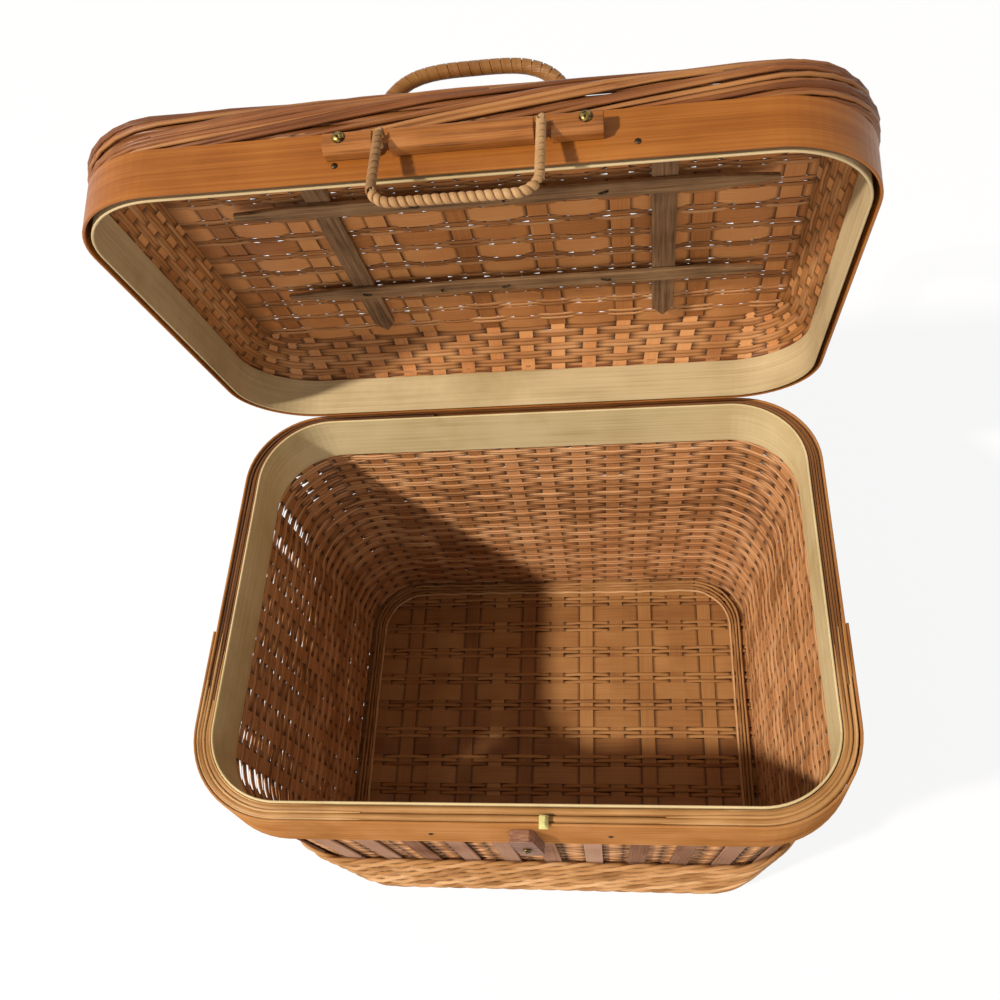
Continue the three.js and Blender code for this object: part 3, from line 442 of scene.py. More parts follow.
def around(u, half_width, half_depth, corner):
    """Points and outward directions at shares u of the way round a rounded rectangle."""
    u = np.mod(u, 1.0)
    part = np.clip(np.searchsorted(BREAKS, u, side="right") - 1, 0, 7)
    share = (u - BREAKS[part]) / (BREAKS[part + 1] - BREAKS[part])
    side, bend = part // 2, part % 2
    angle = (side + bend * share) * math.pi / 2
    normal = np.stack([np.cos(angle), np.sin(angle)], -1)
    travel = np.where(bend == 1, 1.0, share)[..., None]
    centre = CORNERS_BEFORE[side] * (1 - travel) + CORNERS_AFTER[side] * travel
    reach = np.stack([half_width - corner, half_depth - corner], -1)
    return centre * reach + np.asarray(corner)[..., None] * normal, normal


class Shell:
    """A surface through outlines at rising heights, each (height, half width, half depth, corner)."""

    def __init__(self, levels):
        self.levels = np.array(levels, float)
        steps = np.diff(self.levels, axis=0)
        self.run = np.concatenate([[0], np.cumsum(np.hypot(steps[:, 0], steps[:, 2]))])

    def raw(self, u, s, offset):
        z, width, depth, corner = (np.interp(s, self.run, self.levels[:, k]) for k in range(4))
        point, normal = around(u, width, depth, corner)
        flat = point + np.asarray(offset)[..., None] * normal
        return np.concatenate([flat, z[..., None]], -1), normal

    def at(self, u, s, offset=0.0):
        """Points at offset out from the surface, and the surface's own outward directions."""
        u, s, offset = np.broadcast_arrays(*(np.asarray(value, float) for value in (u, s, offset)))
        base, normal = self.raw(u, s, np.zeros_like(s))
        step = 2.0
        above, _ = self.raw(u, np.clip(s + step, 0, self.run[-1]), np.zeros_like(s))
        below, _ = self.raw(u, np.clip(s - step, 0, self.run[-1]), np.zeros_like(s))
        rise = above - below
        tangent = np.stack([-normal[..., 1], normal[..., 0], np.zeros_like(s)], -1)
        out = np.cross(tangent, rise)
        out /= np.linalg.norm(out, axis=-1, keepdims=True)
        return base + offset[..., None] * out, out


mouth = (220.0, 161.0, 55.0)
rim_height = 294.0


def grown(outline, margin):
    return tuple(value + margin for value in outline)


base_inside = Shell([(0, 188, 150, 49), (243.7, *grown(mouth, 1.9)), (290, *grown(mouth, 1.9))])
print("wall run, mm:", base_inside.run.round(1))

# %% [markdown]
# ## The woven wall of the base
# Flat stakes stand round the wall, and pairs of thin reeds pass in front of one and behind the
# next. Waves drawn by a formula, sharp at the stakes, make rows that really interlace. The weave is
# closer and shallower than the real one, so where a reed dives past a stake the slit's shadow is
# painted on it.

# %% Stakes and rows
STAKES = 48
STAKE_WIDTH, STAKE_THICKNESS = 12.2, 0.6
REED_TALL, REED_DEEP, REED_SPREAD = 3.7, 1.5, 3.1
REED_SWING = 0.85
ROWS_FROM, ROWS_TO, ROW_PITCH = 0.9, 244, 6.2
WALL_MIDDLE = 2.5
STAKE_SHIFT, HUG_POWER = 0.35, 2.4
# Painted shade on a reed beside a stake, where the slit's shadow falls, by how far the wave has swung outwards.
FAINT_FROM, DARK_FROM, DARK_TO = 0.1, 0.4, 0.7
FAINT_SLIT_SHADE, DARK_SLIT_SHADE = 0.35, 0.9


def weave_wave(u, stakes, phase):
    """1 outside a stake, -1 inside the next; a higher power hugs the stakes less."""
    turn = np.cos(np.pi * (u * stakes - STAKE_SHIFT + phase))
    return np.sign(turn) * np.abs(turn) ** HUG_POWER


def row_samples(stakes):
    """Shares round the wall, at each stake's middle and edges and between stakes."""
    shift_shares = STAKE_SHIFT + np.array([-0.36, -0.22, 0.0, 0.22, 0.36, 0.5])
    return ((np.arange(stakes)[:, None] + shift_shares[None, :]) / stakes).ravel()


def wobble(u, size):
    """A slow irregular wave round the wall, different at each call."""
    total = np.zeros_like(u)
    for k in (2, 5, 9, 16):
        total += random.normal() * np.sin(2 * np.pi * (k * u + random.random())) / math.sqrt(k)
    return size * total


def woven_rows(shell, low, high, pitch, stakes, spread, amplitude, middle, worn=None):
    """Pairs of reeds in rows from low to high, each pair opposite to the last; worn thins the reeds."""
    samples = row_samples(stakes)
    if worn is not None:
        extra = np.array([column + shift for column, *_ in WORN_COLUMNS for shift in (-0.2, -0.1, 0.1, 0.2)])
        samples = np.sort(np.concatenate([samples, extra / stakes]))
    paths, facings, tapers, slit_shades = [], [], [], []
    for row in range(int((high - low) / pitch)):
        wave = weave_wave(samples, stakes, row % 2)
        slow = wobble(samples, 0.3)
        for half in (-0.5, 0.5):
            s = low + (row + 0.5) * pitch + slow + wobble(samples, 0.12)
            thin = np.zeros_like(samples) if worn is None else worn(samples, s, row)
            own = middle + amplitude * wave * random.uniform(0.85, 1.1)
            points, out = shell.at(samples, s + half * spread * (1 - thin), own)
            paths.append(points)
            facings.append(out)
            tapers.append(1 - thin)
            # Painted shade of the slit beside each stake.
            dark = (wave > DARK_FROM) & (wave < DARK_TO)
            faint = (wave > FAINT_FROM) & (wave <= DARK_FROM)
            slit_shades.append(DARK_SLIT_SHADE * dark + FAINT_SLIT_SHADE * faint)
    return paths, facings, tapers, slit_shades


# Worn columns of the weave: stake number, half width in stakes, lowest run and the share worn away.
WORN_COLUMNS = [(31.85, 0.26, 160, 0.9), (30.85, 0.14, 196, 0.7), (23.8, 0.2, 150, 0.88),
                (22.85, 0.2, 172, 0.85), (21.85, 0.2, 135, 0.85), (20.85, 0.15, 140, 0.6),
                (24.8, 0.15, 170, 0.6)]
WORN_FADE, MOST_WORN, LEFT_WORN = 45, 0.9, 0.1
left_start, left_end = BREAKS[4] * STAKES, BREAKS[5] * STAKES + 1


def worn_weave(u, s, row):
    """How much of each reed is worn away: a little on the left, and in every second row the columns."""
    at = u * STAKES
    on_left = LEFT_WORN * ((at > left_start) & (at < left_end))
    if row % 2:
        return on_left
    gone = sum(depth * np.exp(-((at - column) / half_width) ** 4) * np.clip((s - lowest) / WORN_FADE, 0, 1)
               for column, half_width, lowest, depth in WORN_COLUMNS)
    return np.clip(gone + on_left, 0, MOST_WORN)


rows, row_faces, row_tapers, row_slit_shades = woven_rows(base_inside, ROWS_FROM, ROWS_TO, ROW_PITCH, STAKES,
                                                    REED_SPREAD, REED_SWING, WALL_MIDDLE, worn_weave)
half_rows = len(rows) // 2
for name, part in (("base_wall_reeds_low", slice(0, half_rows)),
                   ("base_wall_reeds_high", slice(half_rows, None))):
    wall_rows = strands(name, rows[part], row_faces[part], REED_TALL, REED_DEEP, woven_reed, "basket",
                        "woven_reed", closed=True, tapers=row_tapers[part], slit_shades=row_slit_shades[part])
    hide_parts("base_wall")

# %% Stakes
def upright_strips(shell, low, high, count, offset, levels=8):
    """Flat strips that stand round the wall at the stakes' places."""
    paths, facings = [], []
    heights = np.linspace(low, high, levels)
    for k in range(count):
        u = (k + STAKE_SHIFT) / count
        points, out = shell.at(np.full(levels, u), heights, np.full(levels, offset))
        paths.append(points)
        facings.append(out)
    return paths, facings


stakes, stake_faces = upright_strips(base_inside, 1, 288, STAKES, WALL_MIDDLE)
strands("base_wall_stakes", stakes, stake_faces, STAKE_WIDTH, STAKE_THICKNESS, woven_splint, "basket",
        "woven_splint", flat=True, rounding=0.2)

# %% Outer splints
OUTER_SPLINTS, SPLINT_FOOT, SPLINT_POINTS = 42, 17.6, 8
SHOULDER_CORNER = 61.5
wall_outside = Shell([(0, 192.6, 154.6, 53.6), (240, 226.5, 167.5, SHOULDER_CORNER)])
SHOULDER_STRAIGHTS, SHOULDER_BEND = (212.0, 330.0), math.pi / 2 * SHOULDER_CORNER
shoulder_runs = np.cumsum([0] + [run for side in range(4)
                                 for run in (SHOULDER_STRAIGHTS[side % 2], SHOULDER_BEND)])
slats, slat_faces = [], []
for k in range(OUTER_SPLINTS):
    share = np.interp(k / OUTER_SPLINTS * shoulder_runs[-1], shoulder_runs, BREAKS)
    heights = np.linspace(SPLINT_FOOT, wall_outside.run[-1] + 1.5, SPLINT_POINTS)
    ripple = 0.15 + 0.12 * np.sin(heights / 9 + k)
    points, out = wall_outside.at(np.full(SPLINT_POINTS, share), heights, ripple)
    slats.append(points)
    slat_faces.append(out)
strands("base_outer_splints", slats, slat_faces, 13.5, 1.7, outer_splint, "basket", "woven_splint", flat=True,
        rounding=0.35)

# %% [markdown]
# ## The woven floor
# Wide strips run along the basket with thin reeds between them, and flat splints cross them. The
# splints stay nearly flat; strips and reeds rise over one and dive under the next.

# %% Flat weave
def inside_reach(outline, y):
    """The half width of a rounded rectangle at each y."""
    width, depth, corner = outline
    into = np.clip(np.abs(y) - (depth - corner), 0, corner)
    return width - corner + np.sqrt(np.maximum(corner ** 2 - into ** 2, 0))


STRIP_THICKNESS, FLAT_REED_DEEP, FLAT_SWING = 0.8, 1.3, 0.8
# Painted shade at a strand's tucked ends, and where it passes under a splint: the shadow of the slits there.
SHADE_AT_TUCKED_ENDS, SHADE_UNDER_SPLINT = 0.5, 0.9


class FlatWeave:
    """A woven panel in the XY plane: strips and reeds along X, which cross the splints along Y.

    inside is 1 where the panel is seen from above, and -1 where it is seen from below. Strips pass
    inside the even splints and outside the odd ones, and reeds take turns.
    """

    def __init__(self, outline, level, splint_pitch, splint_place, splint_width, inside, place):
        self.outline, self.level, self.inside, self.place = outline, level, inside, place
        self.pitch, self.splint_width = splint_pitch, splint_width
        reach = outline[0] - splint_width / 2
        numbers = range(math.ceil((-reach - splint_place) / splint_pitch),
                        math.floor((reach - splint_place) / splint_pitch) + 1)
        self.columns = [(k, splint_place + k * splint_pitch) for k in numbers]

    def laid(self, points):
        """Points and facings, both put in their place on the basket."""
        facing = self.place(np.array([0, 0, 1.0]), True)
        return self.place(points), np.broadcast_to(facing, points.shape)

    def crossing(self, y, parity, amplitude, wander):
        """One strip or reed along X at y, over the splints of one parity and under the others; with its painted
        slit shade.
        """
        half = inside_reach(self.outline, np.array([y]))[0]
        x, z, slit_shade = [-half], [self.level], [SHADE_AT_TUCKED_ENDS]
        # Across each splint: the place, how far the strand has risen there, and how much is hidden, which sets
        # its painted shade.
        hugs = ((-0.5 * self.pitch, 0, 0), (-0.75 * self.splint_width, 0.5, 0),
                (-0.5 * self.splint_width, 0.85, 1), (0, 1, 0.3), (0.5 * self.splint_width, 0.85, 1),
                (0.75 * self.splint_width, 0.5, 0))
        for k, column in self.columns:
            side = 1 if (k + parity) % 2 == 0 else -1
            for shift, share, hidden in hugs:
                if -half < column + shift < half:
                    x.append(column + shift)
                    z.append(self.level + self.inside * side * share * amplitude)
                    slit_shade.append(SHADE_UNDER_SPLINT * hidden if side < 0 else 0.0)
        x, z, slit_shade = np.array(x + [half]), np.array(z + [self.level]), np.array(slit_shade + [SHADE_AT_TUCKED_ENDS])
        wandering = y + wobble((x / self.outline[0] + 1) / 4, wander)
        return *self.laid(np.stack([x, wandering, z], -1)), slit_shade

    def rows(self, strip_width, reeds_between, reed_pitch, first_strip):
        """Strips, and the reeds between them, from front to back."""
        depth = self.outline[1]
        period = strip_width + reeds_between * reed_pitch
        strips, reeds = [], []
        reed_amplitude = FLAT_SWING * (STRIP_THICKNESS + FLAT_REED_DEEP) / 2
        for row in range(-int(2 * depth / period), int(2 * depth / period)):
            middle = first_strip + row * period
            if abs(middle) < depth + strip_width / 3:
                furthest = depth - strip_width / 2 + 0.5
                strips.append(self.crossing(min(max(middle, -furthest), furthest), 0, STRIP_THICKNESS, 0.2))
            for n in range(reeds_between):
                y = middle + strip_width / 2 + (n + 0.5) * reed_pitch
                if abs(y) < depth - reed_pitch / 3:
                    reeds.append(self.crossing(y, (n + 1) % 2, reed_amplitude, 0.35))
        return strips, reeds

    def splints(self):
        turned_outline = (self.outline[1], self.outline[0], self.outline[2])
        steps = 12
        found = []
        for _, column in self.columns:
            half = inside_reach(turned_outline, np.array([column]))[0]
            y = np.linspace(-half, half, steps)
            x = column + wobble(y / half / 4 + 0.25, 0.3)
            found.append(self.laid(np.stack([x, y, np.full(steps, self.level)], -1)))
        return found


def in_base(points, direction=False):
    """The floor is drawn where it lies, so nothing moves; the lid has a place of its own."""
    return points


def panel(name, weave, strip_width, reeds_between, reed_pitch, first_strip, overlap, finishes, body, node):
    """Makes a woven panel's strips, reeds and splints; overlap makes each strand wider than its share."""
    strips, reeds = weave.rows(strip_width, reeds_between, reed_pitch, first_strip)
    strip_finish, reed_finish = finishes
    paths, facings, slit_shades = zip(*strips)
    top = strands(name + "_strips", paths, facings, strip_width + overlap, STRIP_THICKNESS, strip_finish, body,
                  "woven_splint", flat=True, rounding=0.25, slit_shades=slit_shades)
    paths, facings, slit_shades = zip(*reeds)
    strands(name + "_reeds", paths, facings, reed_pitch + overlap, FLAT_REED_DEEP, reed_finish, body,
            "woven_splint", slit_shades=slit_shades)
    paths, facings = zip(*weave.splints())
    strands(name + "_splints", paths, facings, weave.splint_width, STRIP_THICKNESS, strip_finish, body,
            "woven_splint", flat=True, rounding=0.25)
    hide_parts(node)


floor_weave = FlatWeave((191, 153, 52), 4.2, 29.5, 4.0, 13, 1, in_base)
panel("floor", floor_weave, 16.8, 3, 3.75, 2.0, 0.1, (shaded_floor_splint, shaded_floor_splint), "basket", "base_floor")

# %% [markdown]
# ## Laths, bands and canes of the base rim
# The rim is a sandwich of bent laths: a pale veneer inside, an orange lath outside in two pieces
# that lap at the sides, and cane or thin laths between. They are strands too, only wider.

# %% Rim helpers
RING_POINTS, RING_SPACING = 260, 0.004


def ring_samples(first, last):
    return np.linspace(first, last, max(8, int((last - first) / RING_SPACING)))


def rim_path(outline, height, u, in_lid=False):
    points, normal = around(u, *(np.full(len(u), value) for value in outline))
    path = np.concatenate([points, np.broadcast_to(height, (len(u),))[:, None]], 1)
    out = np.concatenate([normal, np.zeros((len(u), 1))], 1)
    return (path, out) if not in_lid else (lid_place(path), lid_place(out, True))


def band(name, outline, low, high, thickness, material, body, slot, first=0.0, last=1.0, in_lid=False):
    """A bent lath between two heights, right round or from one share to another."""
    whole = last - first >= 1
    u = np.linspace(0, 1, RING_POINTS, endpoint=False) if whole else ring_samples(first, last)
    path, out = rim_path(grown(outline, thickness / 2), (low + high) / 2, u, in_lid)
    return strands(name, [path], [out], high - low, thickness, material, body, slot, closed=whole,
                   flat=True, rounding=min(0.5, thickness / 3), tints=[0.5])


# %% Base rim
def side_share(y, on_right):
    """The share of the way round at which the straight right or left side passes y."""
    straight = mouth[1] - mouth[2]
    if on_right:
        return BREAKS[0] + (BREAKS[1] - BREAKS[0]) * (y + straight) / (2 * straight)
    return BREAKS[4] + (BREAKS[5] - BREAKS[4]) * (straight - y) / (2 * straight)


LATH_LOW, LATH_THICKNESS = 246, 1.8
FRONT_LATH_END, REAR_LATH_END = -32, -71.7
inner_band = band("base_pale_band", mouth, ROWS_TO, rim_height, 1.6, pale_veneer, "basket", "pale_veneer")
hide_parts("base_inner_band")
front_lath = band("base_orange_lath_front", grown(mouth, 12.9), LATH_LOW, rim_height, LATH_THICKNESS,
                  orange_lath, "basket", "orange_lath", side_share(FRONT_LATH_END, False),
                  1 + side_share(FRONT_LATH_END, True))
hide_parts("base_outer_band_front")
rear_lath = band("base_orange_lath_rear", (230.8, 166.2, 60.2), LATH_LOW, rim_height, LATH_THICKNESS,
                 orange_lath, "basket", "orange_lath", side_share(REAR_LATH_END, True),
                 side_share(REAR_LATH_END, False))
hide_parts("base_outer_band_rear")

# %% Rim canes and the thin laths beside them
def end_taper(count, first=0.35, last=0.35, share=0.12):
    t = np.linspace(0, 1, count)
    rise = first + (1 - first) * np.clip(t / share, 0, 1)
    fall = last + (1 - last) * np.clip((1 - t) / share, 0, 1)
    return np.minimum(rise, fall)


def rim_strand(offset, height, first, last, wave=0.25):
    u = ring_samples(first, last)
    path, out = rim_path(grown(mouth, offset), height, u)
    path += out * wobble(u, wave)[:, None]
    path[:, 2] += wobble(u, wave * 0.6)
    return path, out


for name, offset, node, reach in (("rim_cane_front_inner", 4.6, "rim_cane_inner", -60),
                                  ("rim_cane_front_outer", 9.9, "rim_cane_outer", -76)):
    path, out = rim_strand(offset, 290.9, side_share(reach, False), 1 + side_share(reach, True))
    cane = strands(name, [path], [out], 5.3, 5.3, rim_cane, "basket", "rim_cane", sides=12,
                   tapers=[end_taper(len(path))])
    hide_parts(node)
corner_canes, corner_faces = [], []
for on_right in (False, True):
    for n, (offset, height) in enumerate(((3.0, 292.0), (7.2, 292.6), (11.5, 291.9))):
        start, end = ((BREAKS[7] - 0.03 - 0.012 * n, 1 + side_share(-48 + 14 * n, True)) if on_right else
                      (side_share(-48 + 14 * n, False), BREAKS[6] + 0.03 + 0.012 * n))
        path, out = rim_strand(offset, height, start, end, 0.4)
        corner_canes.append(path)
        corner_faces.append(out)
strands("rim_corner_canes", corner_canes, corner_faces, 2.6, 2.2, rim_cane, "basket", "rim_cane", sides=8,
        tapers=[end_taper(len(path)) for path in corner_canes])
side_laths, side_faces = [], []
for on_right in (False, True):
    for n in range(5):
        u = (ring_samples(side_share(-92 + 5 * n, True), BREAKS[2] + 0.06) if on_right else
             ring_samples(BREAKS[3] - 0.06, side_share(-92 + 5 * n, False)))
        into_rear = np.clip((u - BREAKS[1]) / 0.07, 0, 1) if on_right else np.clip((BREAKS[4] - u) / 0.07, 0, 1)
        offset = 2.9 + 2.0 * n * (1 - 0.72 * into_rear)
        points, normal = around(u, *grown(mouth, offset))
        heights = 287.6 + (n % 2) * 0.9 + wobble(u, 0.3)
        side_laths.append(np.concatenate([points, heights[:, None]], 1))
        side_faces.append(np.concatenate([normal, np.zeros((len(u), 1))], 1))
strands("rim_side_laths", side_laths, side_faces, 9.0, 1.7, dark_filler, "basket", "rim_cane", flat=True)
# Filler strands between the bands, under the front canes: they close the slits beside the canes.
fillers, filler_faces = zip(*[rim_strand(offset, 284, side_share(-70, False), 1 + side_share(-70, True), 0.1)
                              for offset in (3.1, 5.7, 8.3, 10.9)])
strands("rim_front_fillers", fillers, filler_faces, 9.0, 2.7, dark_filler, "basket", "rim_cane", flat=True)

# %% [markdown]
# ## The border round the foot
# Round the foot, strands are twined: each winds round its neighbours as it goes along. Three fine
# cords make the foot's edge. Above them six cords of thicker reed swing far up and down, for the
# wavy rows of the real one. Four thin wavy strands lie inside, round the edge of the floor. How many
# strands and turns a cord has was chosen.

# %% Foot border
CORD_STRANDS = 3
FINE_TURNS, FINE_POINTS = 25, 400
WAVY_TURNS, WAVY_POINTS = 21, 380
EDGE_POINTS = 320


def twined(shell, s, offset, strand_count, turns, spread, samples, drift):
    """Strands of one twisted cord round the wall at run s."""
    paths, facings = [], []
    u = np.arange(samples) / samples
    slow = wobble(u, drift)
    for k in range(strand_count):
        phase = 2 * np.pi * (u * turns + k / strand_count)
        points, out = shell.at(u, s + slow + spread[0] * np.sin(phase), offset + spread[1] * np.cos(phase))
        paths.append(points)
        facings.append(out)
    return paths, facings


foot_paths, foot_faces = [], []
for s, offset in ((4.1, 2.0), (8.7, 2.3), (13.6, 2.0)):
    cord, faces = twined(wall_outside, s, offset, CORD_STRANDS, FINE_TURNS, (1.2, 1.1), FINE_POINTS, 0.12)
    foot_paths.extend(cord)
    foot_faces.extend(faces)
foot = strands("foot_border_cords", foot_paths, foot_faces, 2.9, 2.6, foot_reed, "basket", "border_reed",
               closed=True)
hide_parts("foot_border")
wavy_paths, wavy_faces = [], []
for s, offset, swing in ((25, 3.3, 7.5), (43, 3.3, 8.5), (64, 3.2, 9.0), (86, 3.2, 9.0), (107, 3.3, 9.0),
                         (127, 3.3, 8.0)):
    cord, faces = twined(wall_outside, s, offset, CORD_STRANDS, WAVY_TURNS, (swing, 1.5), WAVY_POINTS, 0.5)
    wavy_paths.extend(cord)
    wavy_faces.extend(faces)
strands("foot_wavy_reeds", wavy_paths, wavy_faces, 5.2, 3.4, foot_reed, "basket", "border_reed", closed=True)
edge_paths, edge_faces = [], []
u = np.arange(EDGE_POINTS) / EDGE_POINTS
for n in range(4):
    points, normal = around(u, 185.5 - 2.9 * n, 147.5 - 2.9 * n, 46.5 - 2.0 * n)
    level = 7.4 - 0.6 * n + 0.7 * np.sin(2 * np.pi * (u * 44 + 0.5 * n)) + wobble(u, 0.2)
    edge_paths.append(np.concatenate([points + normal * wobble(u, 0.35)[:, None], level[:, None]], 1))
    edge_faces.append(np.concatenate([normal, np.zeros((EDGE_POINTS, 1))], 1))
strands("floor_edge_twining", edge_paths, edge_faces, 2.2, 2.4, foot_reed, "basket", "border_reed", closed=True)

# %% [markdown]
# ## The lid
# The lid is drawn shut, with heights from the rim, and one function turns it about the hinge pin
# to the open rest pose. Its top is a woven panel, its side leans in from the band to the panel.

# %% Lid place
OPEN_DEGREES = 75.0
OPEN_ANGLE = math.radians(OPEN_DEGREES)
PIN_Y, PIN_FROM_RIM = 171.6, 16.0


def lid_place(points, direction=False):
    """Closed lid coordinates, from the rim, to the open rest pose; or a direction between them."""
    y, z = points[..., 1], points[..., 2]
    if not direction:
        y, z = y - PIN_Y, z - PIN_FROM_RIM
    turned = [y * math.cos(OPEN_ANGLE) + z * math.sin(OPEN_ANGLE),
              z * math.cos(OPEN_ANGLE) - y * math.sin(OPEN_ANGLE)]
    if not direction:
        turned = [turned[0] + PIN_Y, turned[1] + PIN_FROM_RIM + rim_height]
    return np.stack([points[..., 0], *turned], -1)


def into_lid(paths, facings):
    return [lid_place(path) for path in paths], [lid_place(face, True) for face in facings]


# %% Woven lid
lid_weave = FlatWeave((205, 136, 29), 58.6, 26.6, 6.0, 13, -1, lid_place)
panel("lid", lid_weave, 15.0, 3, 2.87, -8.8, 1.1, (lid_splint, lid_reed), "lid", "lid_panel")

lid_inside = Shell([(29, *grown(mouth, 1.9)), (32, *grown(mouth, 1.6)), (58.8, 203.4, 134.4, 27.4)])
LID_STAKES, LID_MIDDLE = 60, 1.9
lid_rows, lid_faces, lid_tapers, lid_slit_shades = woven_rows(lid_inside, 0.5, lid_inside.run[-1], 5.8, LID_STAKES,
                                                        2.9, REED_SWING, LID_MIDDLE)
lid_side = strands("lid_wall_reeds", *into_lid(lid_rows, lid_faces), 3.4, 1.4, lid_reed, "lid", "woven_reed",
                   closed=True, tapers=lid_tapers, slit_shades=lid_slit_shades)
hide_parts("lid_wall")
lid_stakes, stake_faces = upright_strips(lid_inside, 0, lid_inside.run[-1], LID_STAKES, LID_MIDDLE, levels=6)
strands("lid_wall_stakes", *into_lid(lid_stakes, stake_faces), 11, STAKE_THICKNESS, lid_splint, "lid",
        "woven_reed", flat=True, rounding=0.2)

# %% Lid bands
lid_pale = band("lid_pale_band", mouth, 0.6, 30.5, 1.6, shaded_lid_veneer, "lid", "pale_veneer", in_lid=True)
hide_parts("lid_inner_band")
lid_lath = band("lid_orange_lath", grown(mouth, 4.8), 0.6, 30, LATH_THICKNESS, lid_orange, "lid",
                "orange_lath", in_lid=True)
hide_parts("lid_outer_band")

# %% [markdown]
# ## The border of the lid
# Long reeds lie aslant round the lid above its lath. Each comes up behind the lath, climbs slowly
# to the top edge and tucks in there, so about twenty lie side by side wherever the border is cut.

# %% Lid border
lid_outside = Shell([(28, *grown(mouth, 5.0)), (33, *grown(mouth, 6.6)), (46, *grown(mouth, 7.0)),
                     (54, 222.5, 161.5, 52), (60, 215, 151, 42), (62.5, 207, 142, 33), (60, 203, 137, 28)])
BORDER_REEDS, BORDER_SHARE, BORDER_POINTS = 72, 0.3, 36
UNDER_REEDS, UNDER_POINTS = 7, 300
border_paths, border_faces = [], []
t = np.linspace(0, 1, BORDER_POINTS)
for k in range(BORDER_REEDS):
    span = BORDER_SHARE * random.uniform(0.85, 1.15)
    u = (k + 0.4 * random.normal()) / BORDER_REEDS + span * t
    climb = lid_outside.run[-1] * (0.9 * t + 0.1 * t ** 2) + 0.8 * np.sin(np.pi * t) * random.normal()
    points, out = lid_outside.at(u, climb, 0.5 * np.sin(7 * t + 6 * random.random()))
    border_paths.append(points)
    border_faces.append(out)
border = strands("lid_border_reeds", *into_lid(border_paths, border_faces), 3.0, 2.5, border_reed, "lid",
                 "border_reed", tapers=[end_taper(BORDER_POINTS, 0.5, 0.5)] * BORDER_REEDS)
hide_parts("lid_border")
under_paths, under_faces = [], []
u = np.arange(UNDER_POINTS) / UNDER_POINTS
for n in range(UNDER_REEDS):
    points, out = lid_outside.at(u, 6 + 5.2 * n + wobble(u, 0.6), -3.4)
    under_paths.append(points)
    under_faces.append(out)
strands("lid_border_under_reeds", *into_lid(under_paths, under_faces), 5.4, 2.4, border_reed, "lid",
        "border_reed", closed=True)

# %% [markdown]
# ## Battens, blocks and pins
# Where the CAD shape is right and only too sharp, a copy of it is merged, cleaned of its extra
# edges and given a small bevel. The finish is wood with its grain along the piece.

# %% Softened copies of CAD pieces
# Grain lines are almost 2 mm apart, which is this unit over the noise's scale of 0.6, and they are
# about thirty times as long. Stains are about 33 mm across.
GRAIN_UNIT, LINE_SHORTENED, WOOD_STAINS_PER_METRE = 1.1 * MM, 0.03, 30.0
WOOD_BUMP, WOOD_DEPTH = 0.35, 0.4 * MM
BEVEL_SEGMENTS, MERGE_DISTANCE = 2, 0.02 * MM
FLAT_DEGREES, EDGE_DEGREES = 2, 35


def wood_material(name, dark, middle, light, roughness, stretch, turn_deg=0.0):
    """Sawn wood: grain lines along the stretch axis, and slow stains."""
    material = bpy.data.materials.new(name)
    tree = empty_tree(material)
    spot = add(tree, "ShaderNodeTexCoord").outputs["Object"]
    turned = add(tree, "ShaderNodeMapping", {"Vector": spot, "Rotation": (math.radians(turn_deg), 0, 0)})
    scale = tuple(1 / GRAIN_UNIT * (LINE_SHORTENED if axis == stretch else 1.0) for axis in "XYZ")
    drawn = add(tree, "ShaderNodeMapping", {"Vector": turned.outputs[0], "Scale": scale})
    grain = add(tree, "ShaderNodeTexNoise", {"Vector": drawn.outputs[0], "Scale": 0.6, "Detail": 4.0,
                                             "Roughness": 0.65, "Distortion": 0.4})
    patch = add(tree, "ShaderNodeTexNoise", {"Vector": spot, "Scale": WOOD_STAINS_PER_METRE, "Detail": 3.0})
    both = add(tree, "ShaderNodeMath", {0: patch.outputs["Fac"], 1: 0.45, 2: grain.outputs["Fac"]},
               operation="MULTIPLY_ADD")
    ramp = add(tree, "ShaderNodeValToRGB", {"Fac": both.outputs[0]})
    ramp.color_ramp.elements[0].position, ramp.color_ramp.elements[0].color = 0.5, srgb(dark)
    ramp.color_ramp.elements[1].position, ramp.color_ramp.elements[1].color = 0.98, srgb(light)
    ramp.color_ramp.elements.new(0.72).color = srgb(middle)
    raised = add(tree, "ShaderNodeBump", {"Height": grain.outputs["Fac"], "Strength": WOOD_BUMP,
                                          "Distance": WOOD_DEPTH})
    shader = add(tree, "ShaderNodeBsdfPrincipled",
                 {"Base Color": ramp.outputs["Color"], "Roughness": roughness, "Specular IOR Level": SHEEN,
                  "Normal": raised.outputs[0]})
    add(tree, "ShaderNodeOutputMaterial", {"Surface": shader.outputs[0]})
    return material


def softened(node, name, width, material, body):
    """A bevelled copy of a CAD node, which it replaces."""
    mesh = frame["nodes"][node].data.copy()
    mesh.name = name
    mesh.materials.clear()
    shape = bmesh.new()
    shape.from_mesh(mesh)
    bmesh.ops.remove_doubles(shape, verts=shape.verts, dist=MERGE_DISTANCE)
    bmesh.ops.dissolve_limit(shape, angle_limit=math.radians(FLAT_DEGREES), verts=shape.verts, edges=shape.edges)
    bmesh.ops.recalc_face_normals(shape, faces=shape.faces)
    shape.to_mesh(mesh)
    shape.free()
    holder = linked(name + "_sharp", mesh)
    bevel = holder.modifiers.new("bevel", "BEVEL")
    bevel.width = width * MM
    bevel.segments = BEVEL_SEGMENTS
    bevel.limit_method = "ANGLE"
    bevel.angle_limit = math.radians(EDGE_DEGREES)
    piece = keep_mesh(holder, name)
    piece.data.materials.clear()
    piece.data.materials.append(material)
    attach(piece, body)
    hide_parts(node)


